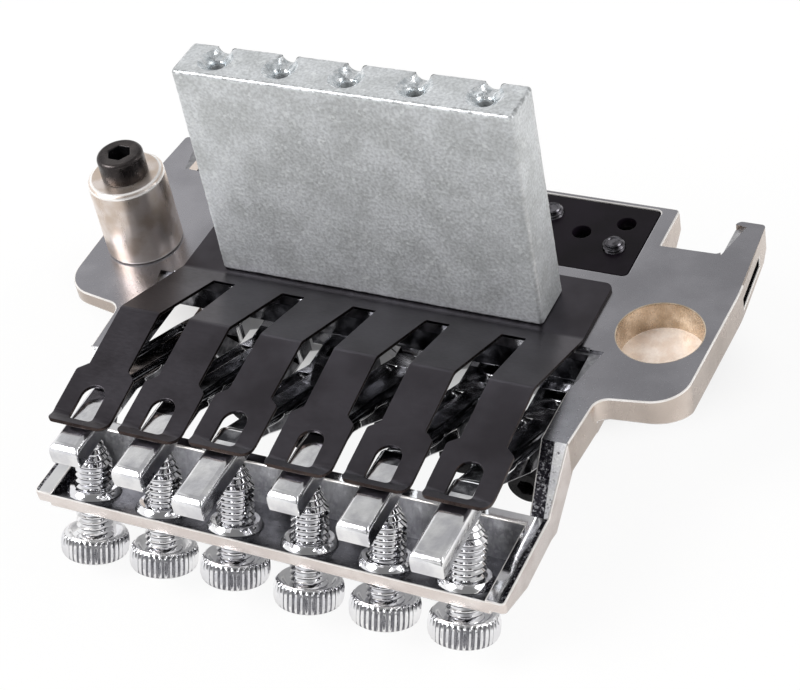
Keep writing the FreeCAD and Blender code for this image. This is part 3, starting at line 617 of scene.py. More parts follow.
@dataclass
class Workpiece:
    """A mesh in millimetres, on its way from a CAD node to a finished piece."""

    name: str  # the finished piece's name
    node: str  # the CAD node that it stands for
    slot: Slot  # the record's slot that its finish belongs to
    finishes: tuple[MetalFinish, ...]  # what its faces choose from, with the first on all at the start
    mesh: Optional[BMesh] = None  # a mesh made anew, where the node's isn't copied
    crease_deg: float = 38.0  # edges that turn by more than this stay sharp in the shading

    def __post_init__(self) -> None:
        """Copies the node where no mesh is given, with its doubles merged and its flats joined."""
        if self.mesh is not None:
            return
        self.mesh = bmesh.new()
        self.mesh.from_mesh(frame["nodes"][self.node].data)
        bmesh.ops.scale(self.mesh, vec=(PER_MM,) * 3, verts=self.mesh.verts)
        weld(self.mesh)
        bmesh.ops.dissolve_limit(
            self.mesh, angle_limit=math.radians(FLAT_DEG), verts=self.mesh.verts, edges=self.mesh.edges
        )

    def dress(self, rule: Rule, faces: Optional[Iterable[BMFace]] = None) -> None:
        """Gives all faces, or only those named, the finishes that a rule chooses."""
        for face in self.mesh.faces if faces is None else faces:
            face.material_index = self.finishes.index(rule(face))

    def ease(
        self,
        width_mm: float,
        least_deg: float = 28.0,
        bright: Optional[Rule] = None,
        keep: Optional[Callable[[BMEdge], bool]] = None,
    ) -> None:
        """Rounds every edge that turns by more than an angle.

        Args:
            width_mm: How far the round reaches from the edge.
            least_deg: The smallest turn that is rounded.
            bright: Chooses the finish of the rounds where it differs from the faces beside them.
            keep: Tells which edges stay as they are.
        """
        self.mesh.normal_update()
        least = math.radians(least_deg)
        sharp = [e for e in self.mesh.edges if len(e.link_faces) == 2 and e.calc_face_angle(0.0) > least]
        if keep:
            sharp = [e for e in sharp if not keep(e)]
        rounds = bevelled(self.mesh, sharp, width_mm, segments=2)
        if bright:
            self.mesh.normal_update()
            self.dress(bright, rounds)
        weld(self.mesh)

    def finished(self) -> Object:
        """Turns the mesh, which is used up, into an object at the origin.

        Returns:
            The object.
        """
        bmesh.ops.scale(self.mesh, vec=(MM,) * 3, verts=self.mesh.verts)
        self.mesh.normal_update()
        crease = math.radians(self.crease_deg)
        for face in self.mesh.faces:
            face.smooth = True
        for edge in self.mesh.edges:
            edge.smooth = edge.calc_face_angle(0.0) < crease
        data = bpy.data.meshes.new(self.name)
        self.mesh.to_mesh(data)
        self.mesh.free()
        for finish in self.finishes:
            data.materials.append(finish.material())
        piece = bpy.data.objects.new(self.name, data)
        bpy.context.scene.collection.objects.link(piece)
        weighted = piece.modifiers.new("even_shading", "WEIGHTED_NORMAL")
        weighted.keep_sharp = True
        return piece

    def seat(self, body: str, bent_to: str = "", start: tuple = (), end: tuple = ()) -> None:
        """Finishes the piece and puts it in place of its CAD node, on its body unless bent_to is given.

        Args:
            body: The CAD body that carries it, where bent_to is not given.
            bent_to: Where given, the piece stays in place on no body; nothing bends it.
            start: Where it begins to bend, in metres. Not used.
            end: Where the bend ends, in metres. Not used.
        """
        piece = self.finished()
        if bent_to:
            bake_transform(piece)
        else:
            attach(piece, body)
        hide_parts(self.node)
        LOG.info("%s: %d faces on %s", piece.name, len(piece.data.polygons), body)


def plain_piece(name: str, node: str, body: str, slot: Slot, finish: MetalFinish, edge: float) -> None:
    """Makes a piece of one finish, with its edges eased.

    Args:
        name: The piece's name.
        node: The CAD node that it stands for.
        body: The CAD body that carries it.
        slot: The record's slot that its finish belongs to.
        finish: Its finish.
        edge: Width of the eased edges.
    """
    piece = Workpiece(name, node, slot, (finish,))
    piece.ease(edge)
    piece.seat(body)


@dataclass
class BasePlate:
    """The plate with its wings, trough and pocket, the knife edges and the tuner bushes."""

    top: float = 3.0  # height of the flat underside that faces up
    pocket: tuple[float, float] = POCKET_MM  # middle of the socket pocket in plan
    pocket_reach: float = 5.75  # radius that takes in the pocket
    crease: float = -39.3  # where the rails begin to slope, along Y
    shoulder: float = -47.3  # how far back the slopes' grain reaches, along Y
    trough_half: float = 31.25  # half width between the rails
    lip: float = -55.0  # how far back the trough's own walls reach, along Y
    grain_line: float = 33.1  # where each slope turns from dark to bright, off the middle
    window_front: float = -22.0  # where the window ends, along Y
    relief: float = 32.2  # middle of the reliefs in the window's corners, off the middle
    relief_half: float = 1.3  # half width of a relief
    relief_span: tuple[float, float] = (-29.0, -20.0)  # where the reliefs begin and end, along Y
    prong_inner: float = 41.3  # inner side of the prongs, off the middle
    notch_span: tuple[float, float] = (-0.8, 2.2)  # reach of a pivot notch about a prong's inner side
    notch_rear: float = -1.5  # where the notches begin, along Y
    facet_end: float = 5.4  # where a prong's facet ends, along Y
    facet_reach: float = 0.8  # how far from the prong's inner side the facet's corners lie
    facet_open: float = 0.95  # how much wider the facet lies than its seat
    facet_fall: float = 0.8  # how far the facet falls
    tip: float = 6.2  # where the prongs' tips begin, along Y
    tip_break: float = 0.5  # width of the broken edge at a tip
    corner: float = 0.1  # what lies this near to a corner belongs to it
    recess_rear: float = -8.2  # where the black plate's recess begins, along Y
    recess_rim: float = 0.6  # how far behind that its rim reaches
    slack: float = 0.3  # how far off its line a face may lie
    front: float = 4.6  # where the plate's front border begins, along Y
    slot_span: tuple[float, float] = (-6.6, 2.7)  # where the knife edges' slots begin and end, along Y
    slot_half: float = 0.95  # half height of a slot
    edge: float = 0.2  # width of the eased edges

    def in_pocket(self, spot: Vector) -> bool:
        """Tells whether a point lies within the pocket's reach in plan."""
        return math.hypot(spot.x - self.pocket[0], spot.y - self.pocket[1]) < self.pocket_reach

    def in_slot(self, face: BMFace, spot: Vector) -> bool:
        """Tells whether a face with this middle lies inside a knife edge's slot."""
        low = all(abs(vert.co.z) < self.slot_half for vert in face.verts)
        return low and abs(spot.x) > self.grain_line and self.slot_span[0] < spot.y < self.slot_span[1]

    def finish_of(self, face: BMFace) -> MetalFinish:
        """Chooses the plate's finish by where a face lies and which way it looks.

        Args:
            face: A face of the plate.

        Returns:
            Its finish.
        """
        spot = face.calc_center_median()
        normal = face.normal
        aside = abs(spot.x)
        if self.in_pocket(spot) and spot.z < self.top - NEAR_MM:
            # The pocket's floor is painted bright against the walls' shade.
            return POCKET_FLOOR if normal.z > LEANING else POCKET_BRONZE
        if normal.z < LOOKING_DOWN:
            return CHROME
        if spot.y < self.crease - NEAR_MM:
            return self.rear_finish(spot, normal)
        sunk = spot.z < self.top - self.slack
        if self.in_slot(face, spot) or (sunk and spot.y > self.recess_rear and aside < self.trough_half):
            return BLACK_OXIDE
        if normal.z > LEVEL:
            return SATIN_NICKEL if spot.z > self.top - NEAR_MM else WALL_CHROME
        if aside > self.prong_inner - self.slack and normal.z > SLANTING:
            return WALL_CHROME
        # Faces inside the window take darkened chrome: a painted shade.
        if aside < self.trough_half + self.slack and spot.y < self.window_front:
            return PAINTED_SHADE_CHROME
        return EDGE_NICKEL

    def rear_finish(self, spot: Vector, normal: Vector) -> MetalFinish:
        """Chooses the finish behind the crease.

        Args:
            spot: The face's middle.
            normal: The way that it looks.

        Returns:
            Its finish.
        """
        aside = abs(spot.x)
        inside = aside < self.trough_half
        if inside and normal.y > SLANTING and normal.z > LEANING:
            return TROUGH_CHROME
        if inside and normal.y < -LEANING and spot.y > self.lip:
            return WALL_CHROME
        if normal.z > SLANTING:
            if spot.y > self.shoulder and (inside or aside > self.grain_line):
                return GRAINY_CHROME
            return CHROME if inside else DARK_GRAIN
        return DARK_GRAIN if normal.x * spot.x < -LEANING * aside else LIP_NICKEL

    def round_finish(self, face: BMFace) -> MetalFinish:
        """Keeps the rims of pocket and recess their own colours and gives the other rounds a painted
        highlight.

        Args:
            face: A face of an eased edge.

        Returns:
            Its finish.
        """
        spot = face.calc_center_median()
        if self.in_pocket(spot):
            return POCKET_BRONZE
        along = self.recess_rear - self.recess_rim < spot.y < self.front
        return SATIN_NICKEL if along and abs(spot.x) < self.trough_half else PAINTED_HIGHLIGHT_NICKEL

    def part_slopes(self, plate: BMesh) -> None:
        """Cuts each rail's slope along the line where its grain turns bright.

        Args:
            plate: The plate's mesh.
        """
        for side in (-1.0, 1.0):
            slopes = [
                face
                for face in plate.faces
                if face.normal.z > SLANTING and face.calc_center_median().y < self.crease - NEAR_MM
            ]
            edges = dict.fromkeys(edge for face in slopes for edge in face.edges)
            verts = dict.fromkeys(vert for face in slopes for vert in face.verts)
            bmesh.ops.bisect_plane(
                plate,
                geom=[*verts, *edges, *slopes],
                plane_co=(side * self.grain_line, 0.0, 0.0),
                plane_no=ACROSS,
            )
        plate.normal_update()

    def stays_sharp(self, edge: BMEdge) -> bool:
        """Tells whether an edge isn't eased: inner corners, prongs, creases, the window's reliefs.

        Args:
            edge: An edge of the plate.

        Returns:
            Whether it stays as it is.
        """
        spots = [vert.co for vert in edge.verts]
        if not edge.is_convex or all(abs(spot.y - self.crease) < self.corner for spot in spots):
            return True
        inner, outer = self.notch_span
        for spot in spots:
            across = abs(spot.x) - self.prong_inner
            on_prong = spot.y > self.facet_end and across > inner
            in_notch = spot.y > self.notch_rear and inner < across < outer
            near_relief = abs(abs(spot.x) - self.relief) < self.relief_half
            if on_prong or in_notch or (near_relief and self.relief_span[0] < spot.y < self.relief_span[1]):
                return True
        return False

    def on_tip(self, edge: BMEdge) -> bool:
        """Tells whether an edge is the long upper one at the tip of a prong.

        Args:
            edge: An edge of the plate.

        Returns:
            Whether it is.
        """
        for spot in (vert.co for vert in edge.verts):
            if abs(spot.x) < self.prong_inner or spot.y < self.tip or spot.z < self.top - self.corner:
                return False
        return edge.calc_length() > self.tip_break * 3

    def shape_prongs(self, plate: Workpiece) -> None:
        """Opens the facet ground on each prong's inner edge and breaks the edge of its tip.

        Args:
            plate: The plate.
        """
        for vert in plate.mesh.verts:
            side = math.copysign(1.0, vert.co.x)
            across = abs(vert.co.x) - self.prong_inner
            if abs(vert.co.y - self.facet_end) > self.corner or not -self.corner < across < self.facet_reach:
                continue
            if vert.co.z > self.top - self.corner:
                vert.co.x += side * self.facet_open
            elif vert.co.z > 0.0:
                vert.co.z = self.top - self.facet_fall
        tips = [edge for edge in plate.mesh.edges if self.on_tip(edge)]
        plate.dress(lambda face: LIP_NICKEL, bevelled(plate.mesh, tips, self.tip_break, segments=1))

    def build(self) -> None:
        """Makes the plate, the knife edges and the bushes."""
        finishes = (
            SATIN_NICKEL, EDGE_NICKEL, GRAINY_CHROME, TROUGH_CHROME, POCKET_BRONZE, CHROME, WALL_CHROME,
            LIP_NICKEL, PAINTED_HIGHLIGHT_NICKEL, DARK_GRAIN, POCKET_FLOOR, BLACK_OXIDE, PAINTED_SHADE_CHROME,
        )
        plate = Workpiece("plate_body", "base_plate", Slot.SATIN_NICKEL, finishes)
        self.part_slopes(plate.mesh)
        plate.dress(self.finish_of)
        self.shape_prongs(plate)
        plate.ease(self.edge, bright=self.round_finish, keep=self.stays_sharp)
        plate.seat("base")
        for side in ("left", "right"):
            finishes = (GROUND_STEEL, BLACK_OXIDE)
            blade = Workpiece("knife_blade_" + side, "knife_edge_" + side, Slot.HARDENED_STEEL, finishes)
            blade.dress(lambda face: BLACK_OXIDE if abs(face.normal.x) > LEANING else GROUND_STEEL)
            blade.ease(self.edge / 3)
            blade.seat("base")
        plain_piece("bush_rings", "tuner_bushes", "base", Slot.CHROME, CHROME, self.edge / 2)


@dataclass
class SaddlePlate:
    """The black plate let into the underside, and the screws that hold the saddles down."""

    edge: float = 0.12  # width of the eased edges
    rows: tuple[float, ...] = (2.4, 2.4, -2.5, 2.4, 2.4, -2.5)  # where each screw stands along Y
    threaded_end: float = 1.9  # length of thread that is cut on the free end
    crest: float = 1.48  # radius of the thread
    root: float = 1.2  # radius at the thread's root
    pitch: float = 0.5  # rise of one turn
    thread_steps: int = 20  # facets in one turn of the thread
    cup: float = 0.3  # height of the plain point above the thread
    cup_steps: int = 28  # facets round the point
    rim_shares: tuple[float, float] = (0.7, 0.6)  # the recess in the point, at its rim and its floor

    def build(self) -> None:
        """Makes the plate and its screws."""
        plain_piece("hold_down_plate", "saddle_plate", "base", Slot.BLACK_PLATE, BLACK_LACQUER, self.edge)
        finishes = (BLACK_OXIDE, CREST_OXIDE)
        screws = Workpiece("hold_down_screws", "saddle_screws", Slot.BLACK_OXIDE, finishes)
        high = max(vert.co.z for vert in screws.mesh.verts)
        screws.ease(self.edge)
        cut(screws.mesh, (0.0, 0.0, high - self.threaded_end), UP, clear=True)
        close_ends(screws.mesh)
        for number, row in enumerate(self.rows, 1):
            end = self.screw_end(high)
            for face in end.faces:
                face.material_index = finishes.index(CREST_OXIDE)
            bmesh.ops.translate(end, vec=(string_x(number), row, 0.0), verts=end.verts)
            join(screws.mesh, end)
        screws.seat("base")

    def screw_end(self, high: float) -> BMesh:
        """Cuts the thread of one screw's free end and dishes its point.

        Args:
            high: Height of the end.

        Returns:
            The threaded end on the Z axis.
        """
        point = high - self.cup
        half = self.cup / 2
        rim, floor = (self.root * share for share in self.rim_shares)
        end = threaded(
            self.crest, self.root, self.pitch, high - self.threaded_end, point, self.thread_steps
        )
        section = (
            (0.0, point - self.cup), (self.root, point - self.cup), (self.root, high - half),
            (self.root - half, high), (rim, high), (floor, high - half), (0.0, high - half),
        )
        join(end, turned(section, self.cup_steps))
        return end


@dataclass
class SustainBlock:
    """The cast block with its row of hook seats, and the screws that hold it."""

    edge: float = 0.4  # width of the eased edges
    edge_deg: float = 40.0  # the smallest turn that is eased
    crease_deg: float = 50.0  # the smallest turn that stays sharp in the shading
    grid: float = 0.8  # distance between the cuts that make the faces fine enough to wear
    wear: float = 0.045  # how far the surface wanders from flat
    broad_mm: float = 6.0  # width of its broad waves
    fine_mm: float = 1.1  # width of its fine waves
    fine_share: float = 0.7  # height of the fine waves beside the broad ones
    fine_shift: tuple[float, float, float] = (9.0, 4.0, 2.0)  # sets the fine waves off the broad ones
    top: float = 36.8  # height of the top edge
    crater_depth: float = 1.9  # how far below the top edge the broken seats reach
    crater_reach: float = 2.7  # radius of a seat
    crater_slope: tuple[float, float] = (0.2, 0.97)  # least and most rise of a seat's normals
    hook_pitch: float = 9.5  # distance from seat to seat
    hook_y: float = -16.875  # where the row of seats lies along Y

    def in_seat(self, face: BMFace) -> bool:
        """Tells whether a face lies inside a hook's seat.

        Args:
            face: A face of the block.

        Returns:
            Whether it does.
        """
        spot = face.calc_center_median()
        along = spot.x / self.hook_pitch
        off = (along - round(along)) * self.hook_pitch
        near = math.hypot(off, spot.y - self.hook_y) < self.crater_reach
        sloping = self.crater_slope[0] < face.normal.z < self.crater_slope[1]
        return near and sloping and spot.z > self.top - self.crater_depth

    def finish_of(self, face: BMFace) -> MetalFinish:
        """Chooses the broken metal inside the hook seats, and the cast skin elsewhere."""
        return BROKEN_ZINC if self.in_seat(face) else CAST_ZINC

    def round_finish(self, face: BMFace) -> MetalFinish:
        """Rubs the corners bright, except inside the hook seats."""
        return BROKEN_ZINC if self.in_seat(face) else RUBBED_ZINC

    def roughen(self, block: BMesh) -> None:
        """Cuts the faces fine and lets the surface wander as a casting's does.

        Args:
            block: The block's mesh.
        """
        low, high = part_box("sustain_block")
        for axis, way in ((0, ACROSS), (2, UP)):
            step = math.ceil(low[axis] * PER_MM) + self.grid
            while step < high[axis] * PER_MM - self.grid / 2:
                cut(block, way * step, way, snap_mm=SNAP_MM)
                step += self.grid
        block.normal_update()
        moves = []
        for vert in block.verts:
            broad = noise.noise(vert.co / self.broad_mm)
            fine = noise.noise(vert.co / self.fine_mm + Vector(self.fine_shift))
            moves.append(vert.normal * (broad + self.fine_share * fine) * self.wear)
        for vert, move in zip(block.verts, moves):
            vert.co += move

    def build(self) -> None:
        """Makes the block and its screws."""
        finishes = (CAST_ZINC, BROKEN_ZINC, RUBBED_ZINC)
        block = Workpiece(
            "cast_block", "sustain_block", Slot.CAST_ZINC, finishes, crease_deg=self.crease_deg
        )
        block.dress(self.finish_of)
        block.ease(self.edge, self.edge_deg, bright=self.round_finish)
        self.roughen(block.mesh)
        block.seat("base")
        plain_piece(
            "block_fixing_screws", "block_screws", "base", Slot.BLACK_OXIDE, BLACK_OXIDE, self.edge / 4
        )


@dataclass
class LeafSpring:
    """The blued sheet under the block, with a finger for each string."""

    root: float = -24.2  # where the fingers leave the sheet, along Y
    press: float = -53.9  # where each finger bears on its tail, along Y
    rear: float = -55.7  # where the fingers end, along Y
    bend_height: float = 5.0  # height of the bend line handed to seat as its start and end
    step: float = 0.8  # distance between the cuts across a finger
    sheared: float = 0.6  # how far the normals of a sheared edge lean
    edge: float = 0.08  # width of the eased edges

    def finish_of(self, face: BMFace) -> MetalFinish:
        """Chooses brown for the sheared edges and the ends, and the blued skin elsewhere."""
        end = face.normal.y < -self.sheared and face.calc_center_median().y < self.press
        return BLUED_EDGE if end or abs(face.normal.x) > self.sheared else BLUED_STEEL

    def part(self, name: str, planes: Iterable[tuple[Vector, Vector]]) -> Workpiece:
        """Cuts a part of the sheet free and closes its cut ends.

        Args:
            name: The part's name.
            planes: A point and the outward direction of each cut.

        Returns:
            The part.
        """
        sheet = Workpiece(name, "leaf_spring", Slot.BLUED_SPRING, (BLUED_STEEL, BLUED_EDGE))
        sheet.dress(self.finish_of)
        sheet.ease(self.edge)
        for spot, outward in planes:
            cut(sheet.mesh, spot, outward, clear=True)
        close_ends(sheet.mesh)
        return sheet

    def build(self) -> None:
        """Makes the sheet and the six fingers."""
        root = AHEAD * self.root
        self.part("spring_sheet", [(root, -AHEAD)]).seat("base")
        for number in range(1, STRINGS + 1):
            x = string_x(number)
            sides = [(ACROSS * (x + side * PITCH_MM / 2), ACROSS * side) for side in (-1.0, 1.0)]
            finger = self.part("spring_finger_%d" % number, [(root, AHEAD), *sides])
            y = self.root - self.step
            while y > self.rear:
                cut(finger.mesh, AHEAD * y, AHEAD, snap_mm=SNAP_MM)
                y -= self.step
            start = (x * MM, self.root * MM, self.bend_height * MM)
            end = (x * MM, self.press * MM, self.bend_height * MM)
            finger.seat("base", "tuner_%d" % number, start, end)


@dataclass
class ArmSocket:
    """The barrel that holds the tremolo arm, its cap screw and its nut."""

    edge: float = 0.2  # width of the eased edges
    foot: float = 3.0  # height at which the barrel meets the plate
    gap: float = 0.15  # height of the undercut at the barrel's foot
    undercut: float = 0.25  # how far the foot is cut back
    shank: float = 4.6  # radius below which nothing is cut back
    hex_reach: float = 1.9  # radius that takes in the key's socket

    def cut_foot(self, barrel: BMesh) -> None:
        """Cuts the barrel's foot back, so that a dark line parts it from the plate.

        Args:
            barrel: The barrel's mesh.
        """
        axis = axis_mm("arm_socket")
        cut(barrel, (0.0, 0.0, self.foot + self.gap), UP)
        for vert in barrel.verts:
            arm = vert.co.xy - axis
            if abs(vert.co.z - self.foot) < self.gap / 2 and arm.length > self.shank:
                vert.co.xy = axis + arm * (1.0 - self.undercut / arm.length)

    def cap_finish(self, face: BMFace) -> MetalFinish:
        """Chooses rubbed oxide for the head and deep black inside the key's socket.

        Args:
            face: A face of the cap screw.

        Returns:
            Its finish.
        """
        spot = face.calc_center_median()
        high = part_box("arm_socket_screw")[1][2] * PER_MM
        inside = (spot.xy - axis_mm("arm_socket_screw")).length < self.hex_reach
        return BLACK_OXIDE if inside and spot.z < high - self.edge / 2 else WORN_OXIDE

    def build(self) -> None:
        """Makes the barrel, the screw and the nut."""
        barrel = Workpiece("arm_barrel", "arm_socket", Slot.WARM_NICKEL, (BARREL_NICKEL, PAINTED_HIGHLIGHT_NICKEL))
        self.cut_foot(barrel.mesh)
        # The barrel's rounded edges take a painted highlight.
        barrel.ease(self.edge, bright=lambda face: PAINTED_HIGHLIGHT_NICKEL)
        barrel.seat("base")
        plain_piece("arm_barrel_nut", "arm_socket_nut", "base", Slot.WARM_NICKEL, BARREL_NICKEL, self.edge)
        cap = Workpiece("arm_cap_screw", "arm_socket_screw", Slot.BLACK_OXIDE, (WORN_OXIDE, BLACK_OXIDE))
        cap.dress(self.cap_finish)
        cap.ease(self.edge)
        cap.seat("base")


@dataclass
class FineTuner:
    """A thumb screw: a fluted knob, a dished collar and a thread that tapers to a ball tip."""

    number: int  # its string
    knob: float = 4.55  # radius over the flutes
    half: float = 1.85  # half height of the knob
    # Radius of each point of the knob's section, with its rise above the lower face, its distance
    # from the middle on the crowned rim, and its depth below the upper face.
    sole: tuple = ((0.0, 0.0), (2.9, 0.0), (3.3, 0.0), (3.75, 0.1))
    crown: tuple = ((4.15, 1.5), (4.4, 1.15), (4.52, 0.7))
    dish: tuple = (
        (3.95, 0.13), (3.75, 0.0), (3.6, 0.04), (3.3, 0.3), (2.95, 0.65), (2.75, 0.7), (2.0, 0.7), (0.0, 0.7),
    )
    flutes: int = 36  # number of flutes
    flute_steps: int = 8  # facets across a flute
    flute_depth: float = 0.45  # depth of a flute
    flute_inner: float = 4.05  # radius inside which nothing is fluted
    flute_end: float = 0.3  # how far from the knob's faces the flutes run out
    flute_curve: float = 0.7  # exponent of a flute's section: lower is fuller
    flute_fade: int = 4  # exponent of its run-out: higher is more sudden
    groove_share: float = 0.75  # how deep in a flute the greyer plate begins
    groove_inner: float = 3.8  # radius inside which no plate is greyer
    groove_end: float = 0.5  # how far from the knob's faces it ends
    crest: float = 2.45  # radius of the thread
    root: float = 2.03  # radius at the thread's root
    pitch: float = 0.8  # rise of one turn
    sunk: float = 1.0  # how far the thread reaches into the knob
    taper: float = 11.6  # height at which the thread begins to taper
    tip: float = 0.9  # radius of the ball tip
    tip_centre: float = 15.0  # height of the ball's middle
    tip_steps: tuple[int, int] = (24, 12)  # facets round the ball and from pole to pole
    crease_deg: float = 50.0  # the smallest turn that stays sharp in the shading

    def place(self) -> Matrix:
        """Finds the knob's middle and its axis from the CAD node and its joint.

        Returns:
            The transform from the tuner's own axis to its place.
        """
        joint = next(j for j in frame["joints"] if j["name"] == "tuner_%d_travel" % self.number)
        along = Vector(joint["axis"]).normalized()
        behind = along.cross(ACROSS)
        points = [v.co * PER_MM for v in frame["nodes"]["fine_tuner_%d" % self.number].data.vertices]
        middle = along * (min(point.dot(along) for point in points) + self.half)
        for way in (ACROSS, behind):
            spread = [point.dot(way) for point in points]
            middle += way * (min(spread) + max(spread)) / 2
        turn = Matrix((ACROSS, behind, along)).transposed().to_4x4()
        return Matrix.Translation(middle) @ turn

    def flute(self, spot: Vector) -> float:
        """Gives how deep in a flute a direction lies, from nought on a ridge to one."""
        return abs(math.cos(math.atan2(spot.y, spot.x) * self.flutes / 2))

    def knob_mesh(self) -> BMesh:
        """Spins the knob and presses its flutes in.

        Returns:
            The knob on the Z axis, with its grooves numbered for the greyer plate.
        """
        section = [(radius, rise - self.half) for radius, rise in self.sole]
        section += [(radius, -off) for radius, off in self.crown] + [(self.knob, 0.0)]
        section += list(reversed(self.crown))
        section += [(radius, self.half - depth) for radius, depth in self.dish]
        knob = turned(section, self.flutes * self.flute_steps)
        for vert in knob.verts:
            radius = vert.co.xy.length
            if radius < self.flute_inner:
                continue
            rise = min(abs(vert.co.z) / (self.half - self.flute_end), 1.0)
            fade = 1.0 - rise ** self.flute_fade
            depth = self.flute_depth * self.flute(vert.co) ** self.flute_curve * fade
            vert.co.xy *= (radius - depth) / radius
        for face in knob.faces:
            spot = face.calc_center_median()
            outside = spot.xy.length > self.groove_inner and abs(spot.z) < self.half - self.groove_end
            face.material_index = int(outside and self.flute(spot) > self.groove_share)
        return knob

    def thread_mesh(self) -> BMesh:
        """Sweeps the thread and tapers it to the tip.

        Returns:
            The thread on the Z axis, with its root numbered for the greyer plate.
        """
        thread = threaded(self.crest, self.root, self.pitch, self.half - self.sunk, self.tip_centre)
        flank = (self.root + self.crest) / 2
        for face in thread.faces:
            face.material_index = int(all(vert.co.xy.length < flank for vert in face.verts))
        for vert in thread.verts:
            over = vert.co.z - self.taper
            radius = vert.co.xy.length
            if over > 0 and radius > 0:
                share = over / (self.tip_centre - self.taper)
                cone = self.crest - share * (self.crest - self.tip)
                groove = (self.crest - radius) * (1.0 - share)
                vert.co.xy *= (cone - groove) / radius
        return thread

    def build(self) -> None:
        """Makes the tuner and puts it on its body."""
        shape = self.knob_mesh()
        join(shape, self.thread_mesh())
        ball = bmesh.new()
        around, down = self.tip_steps
        bmesh.ops.create_uvsphere(ball, u_segments=around, v_segments=down, radius=self.tip)
        bmesh.ops.translate(ball, vec=(0.0, 0.0, self.tip_centre), verts=ball.verts)
        join(shape, ball)
        bmesh.ops.transform(shape, matrix=self.place(), verts=shape.verts)
        name, node = "thumb_screw_%d" % self.number, "fine_tuner_%d" % self.number
        tuner = Workpiece(name, node, Slot.CHROME, (CHROME, GROOVE_CHROME), shape, self.crease_deg)
        tuner.seat("tuner_%d" % self.number)


@dataclass
class StringSaddle:
    """One string's saddle with its pin, rocking lever, clamp block and lock screw."""

    number: int  # its string
    edge: float = 0.24  # width of the eased edges
    tail_length: float = 11.0  # length of the lever's tail behind its bend
    painted_shade_front: float = -21.0  # where the painted shade begins, along Y
    painted_shade_least_area: float = 0.48  # faces smaller than this, in square millimetres, keep plain chrome outside the painted shade
    tail: float = field(init=False)  # where the lever's tail begins, along Y

    def __post_init__(self) -> None:
        """Finds the lever's tail from its CAD node."""
        self.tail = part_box("lever_%d" % self.number)[0][1] * PER_MM + self.tail_length

    def finish_of(self, face: BMFace) -> MetalFinish:
        """Gives the tail its hand polish and the large faces inside the window their darkened chrome, a
        painted shade.

        Args:
            face: A face of the saddle or the lever.

        Returns:
            Its finish.
        """
        y = face.calc_center_median().y
        if y < self.tail:
            return TAIL_CHROME
        # Large faces inside the window are darkened: a painted shade.
        in_window = y < self.painted_shade_front and face.normal.z > LOOKING_DOWN
        return PAINTED_SHADE_CHROME if in_window and face.calc_area() >= self.painted_shade_least_area else CHROME

    def build(self) -> None:
        """Makes the five pieces and puts each on its body."""
        n = self.number
        for node, name in (("saddle_%d", "saddle_body_%d"), ("lever_%d", "rocker_lever_%d")):
            piece = Workpiece(name % n, node % n, Slot.CHROME, (CHROME, PAINTED_SHADE_CHROME, TAIL_CHROME))
            piece.ease(self.edge)
            for y in (self.tail, self.painted_shade_front):
                cut(piece.mesh, AHEAD * y, AHEAD)
            piece.dress(self.finish_of)
            piece.seat(node % n)
        for node, name, body, slot, finish in (
            ("pivot_pin_%d", "rocker_pin_%d", "saddle_%d", Slot.HARDENED_STEEL, GROUND_STEEL),
            ("clamp_block_%d", "string_clamp_%d", "clamp_%d", Slot.HARDENED_STEEL, GROUND_STEEL),
            ("lock_screw_%d", "string_lock_%d", "lock_%d", Slot.BLACK_OXIDE, BLACK_OXIDE),
        ):
            plain_piece(name % n, node % n, body % n, slot, finish, self.edge / 2)


@dataclass(frozen=True)
class SoftBox:
    """A square lamp that faces the object."""

    name: str
    spot: tuple[float, float, float]  # where it hangs, in metres
    power: float  # in watts
    aim: tuple[float, float, float] = (0.0, -0.02, 0.0)  # the point that it faces, in metres
    size: float = 0.4  # its width in metres

    def build(self) -> None:
        """Hangs the lamp."""
        light = bpy.data.lights.new(self.name, "AREA")
        light.shape = "SQUARE"
        light.size = self.size
        light.energy = self.power
        lamp = bpy.data.objects.new(self.name, light)
        turn = (Vector(self.aim) - Vector(self.spot)).to_track_quat("-Z", "Y").to_matrix().to_4x4()
        lamp.matrix_world = Matrix.Translation(self.spot) @ turn
        bpy.context.scene.collection.objects.link(lamp)


@dataclass(frozen=True)
class DarkSide:
    """A side of the room that metal sees darker than the rest."""

    way: tuple[float, float, float]  # the direction of that side
    begin: float  # how far a direction leans to it where the room begins to darken
    full: float  # how far it leans where the room is darkest
    light: float  # brightness there


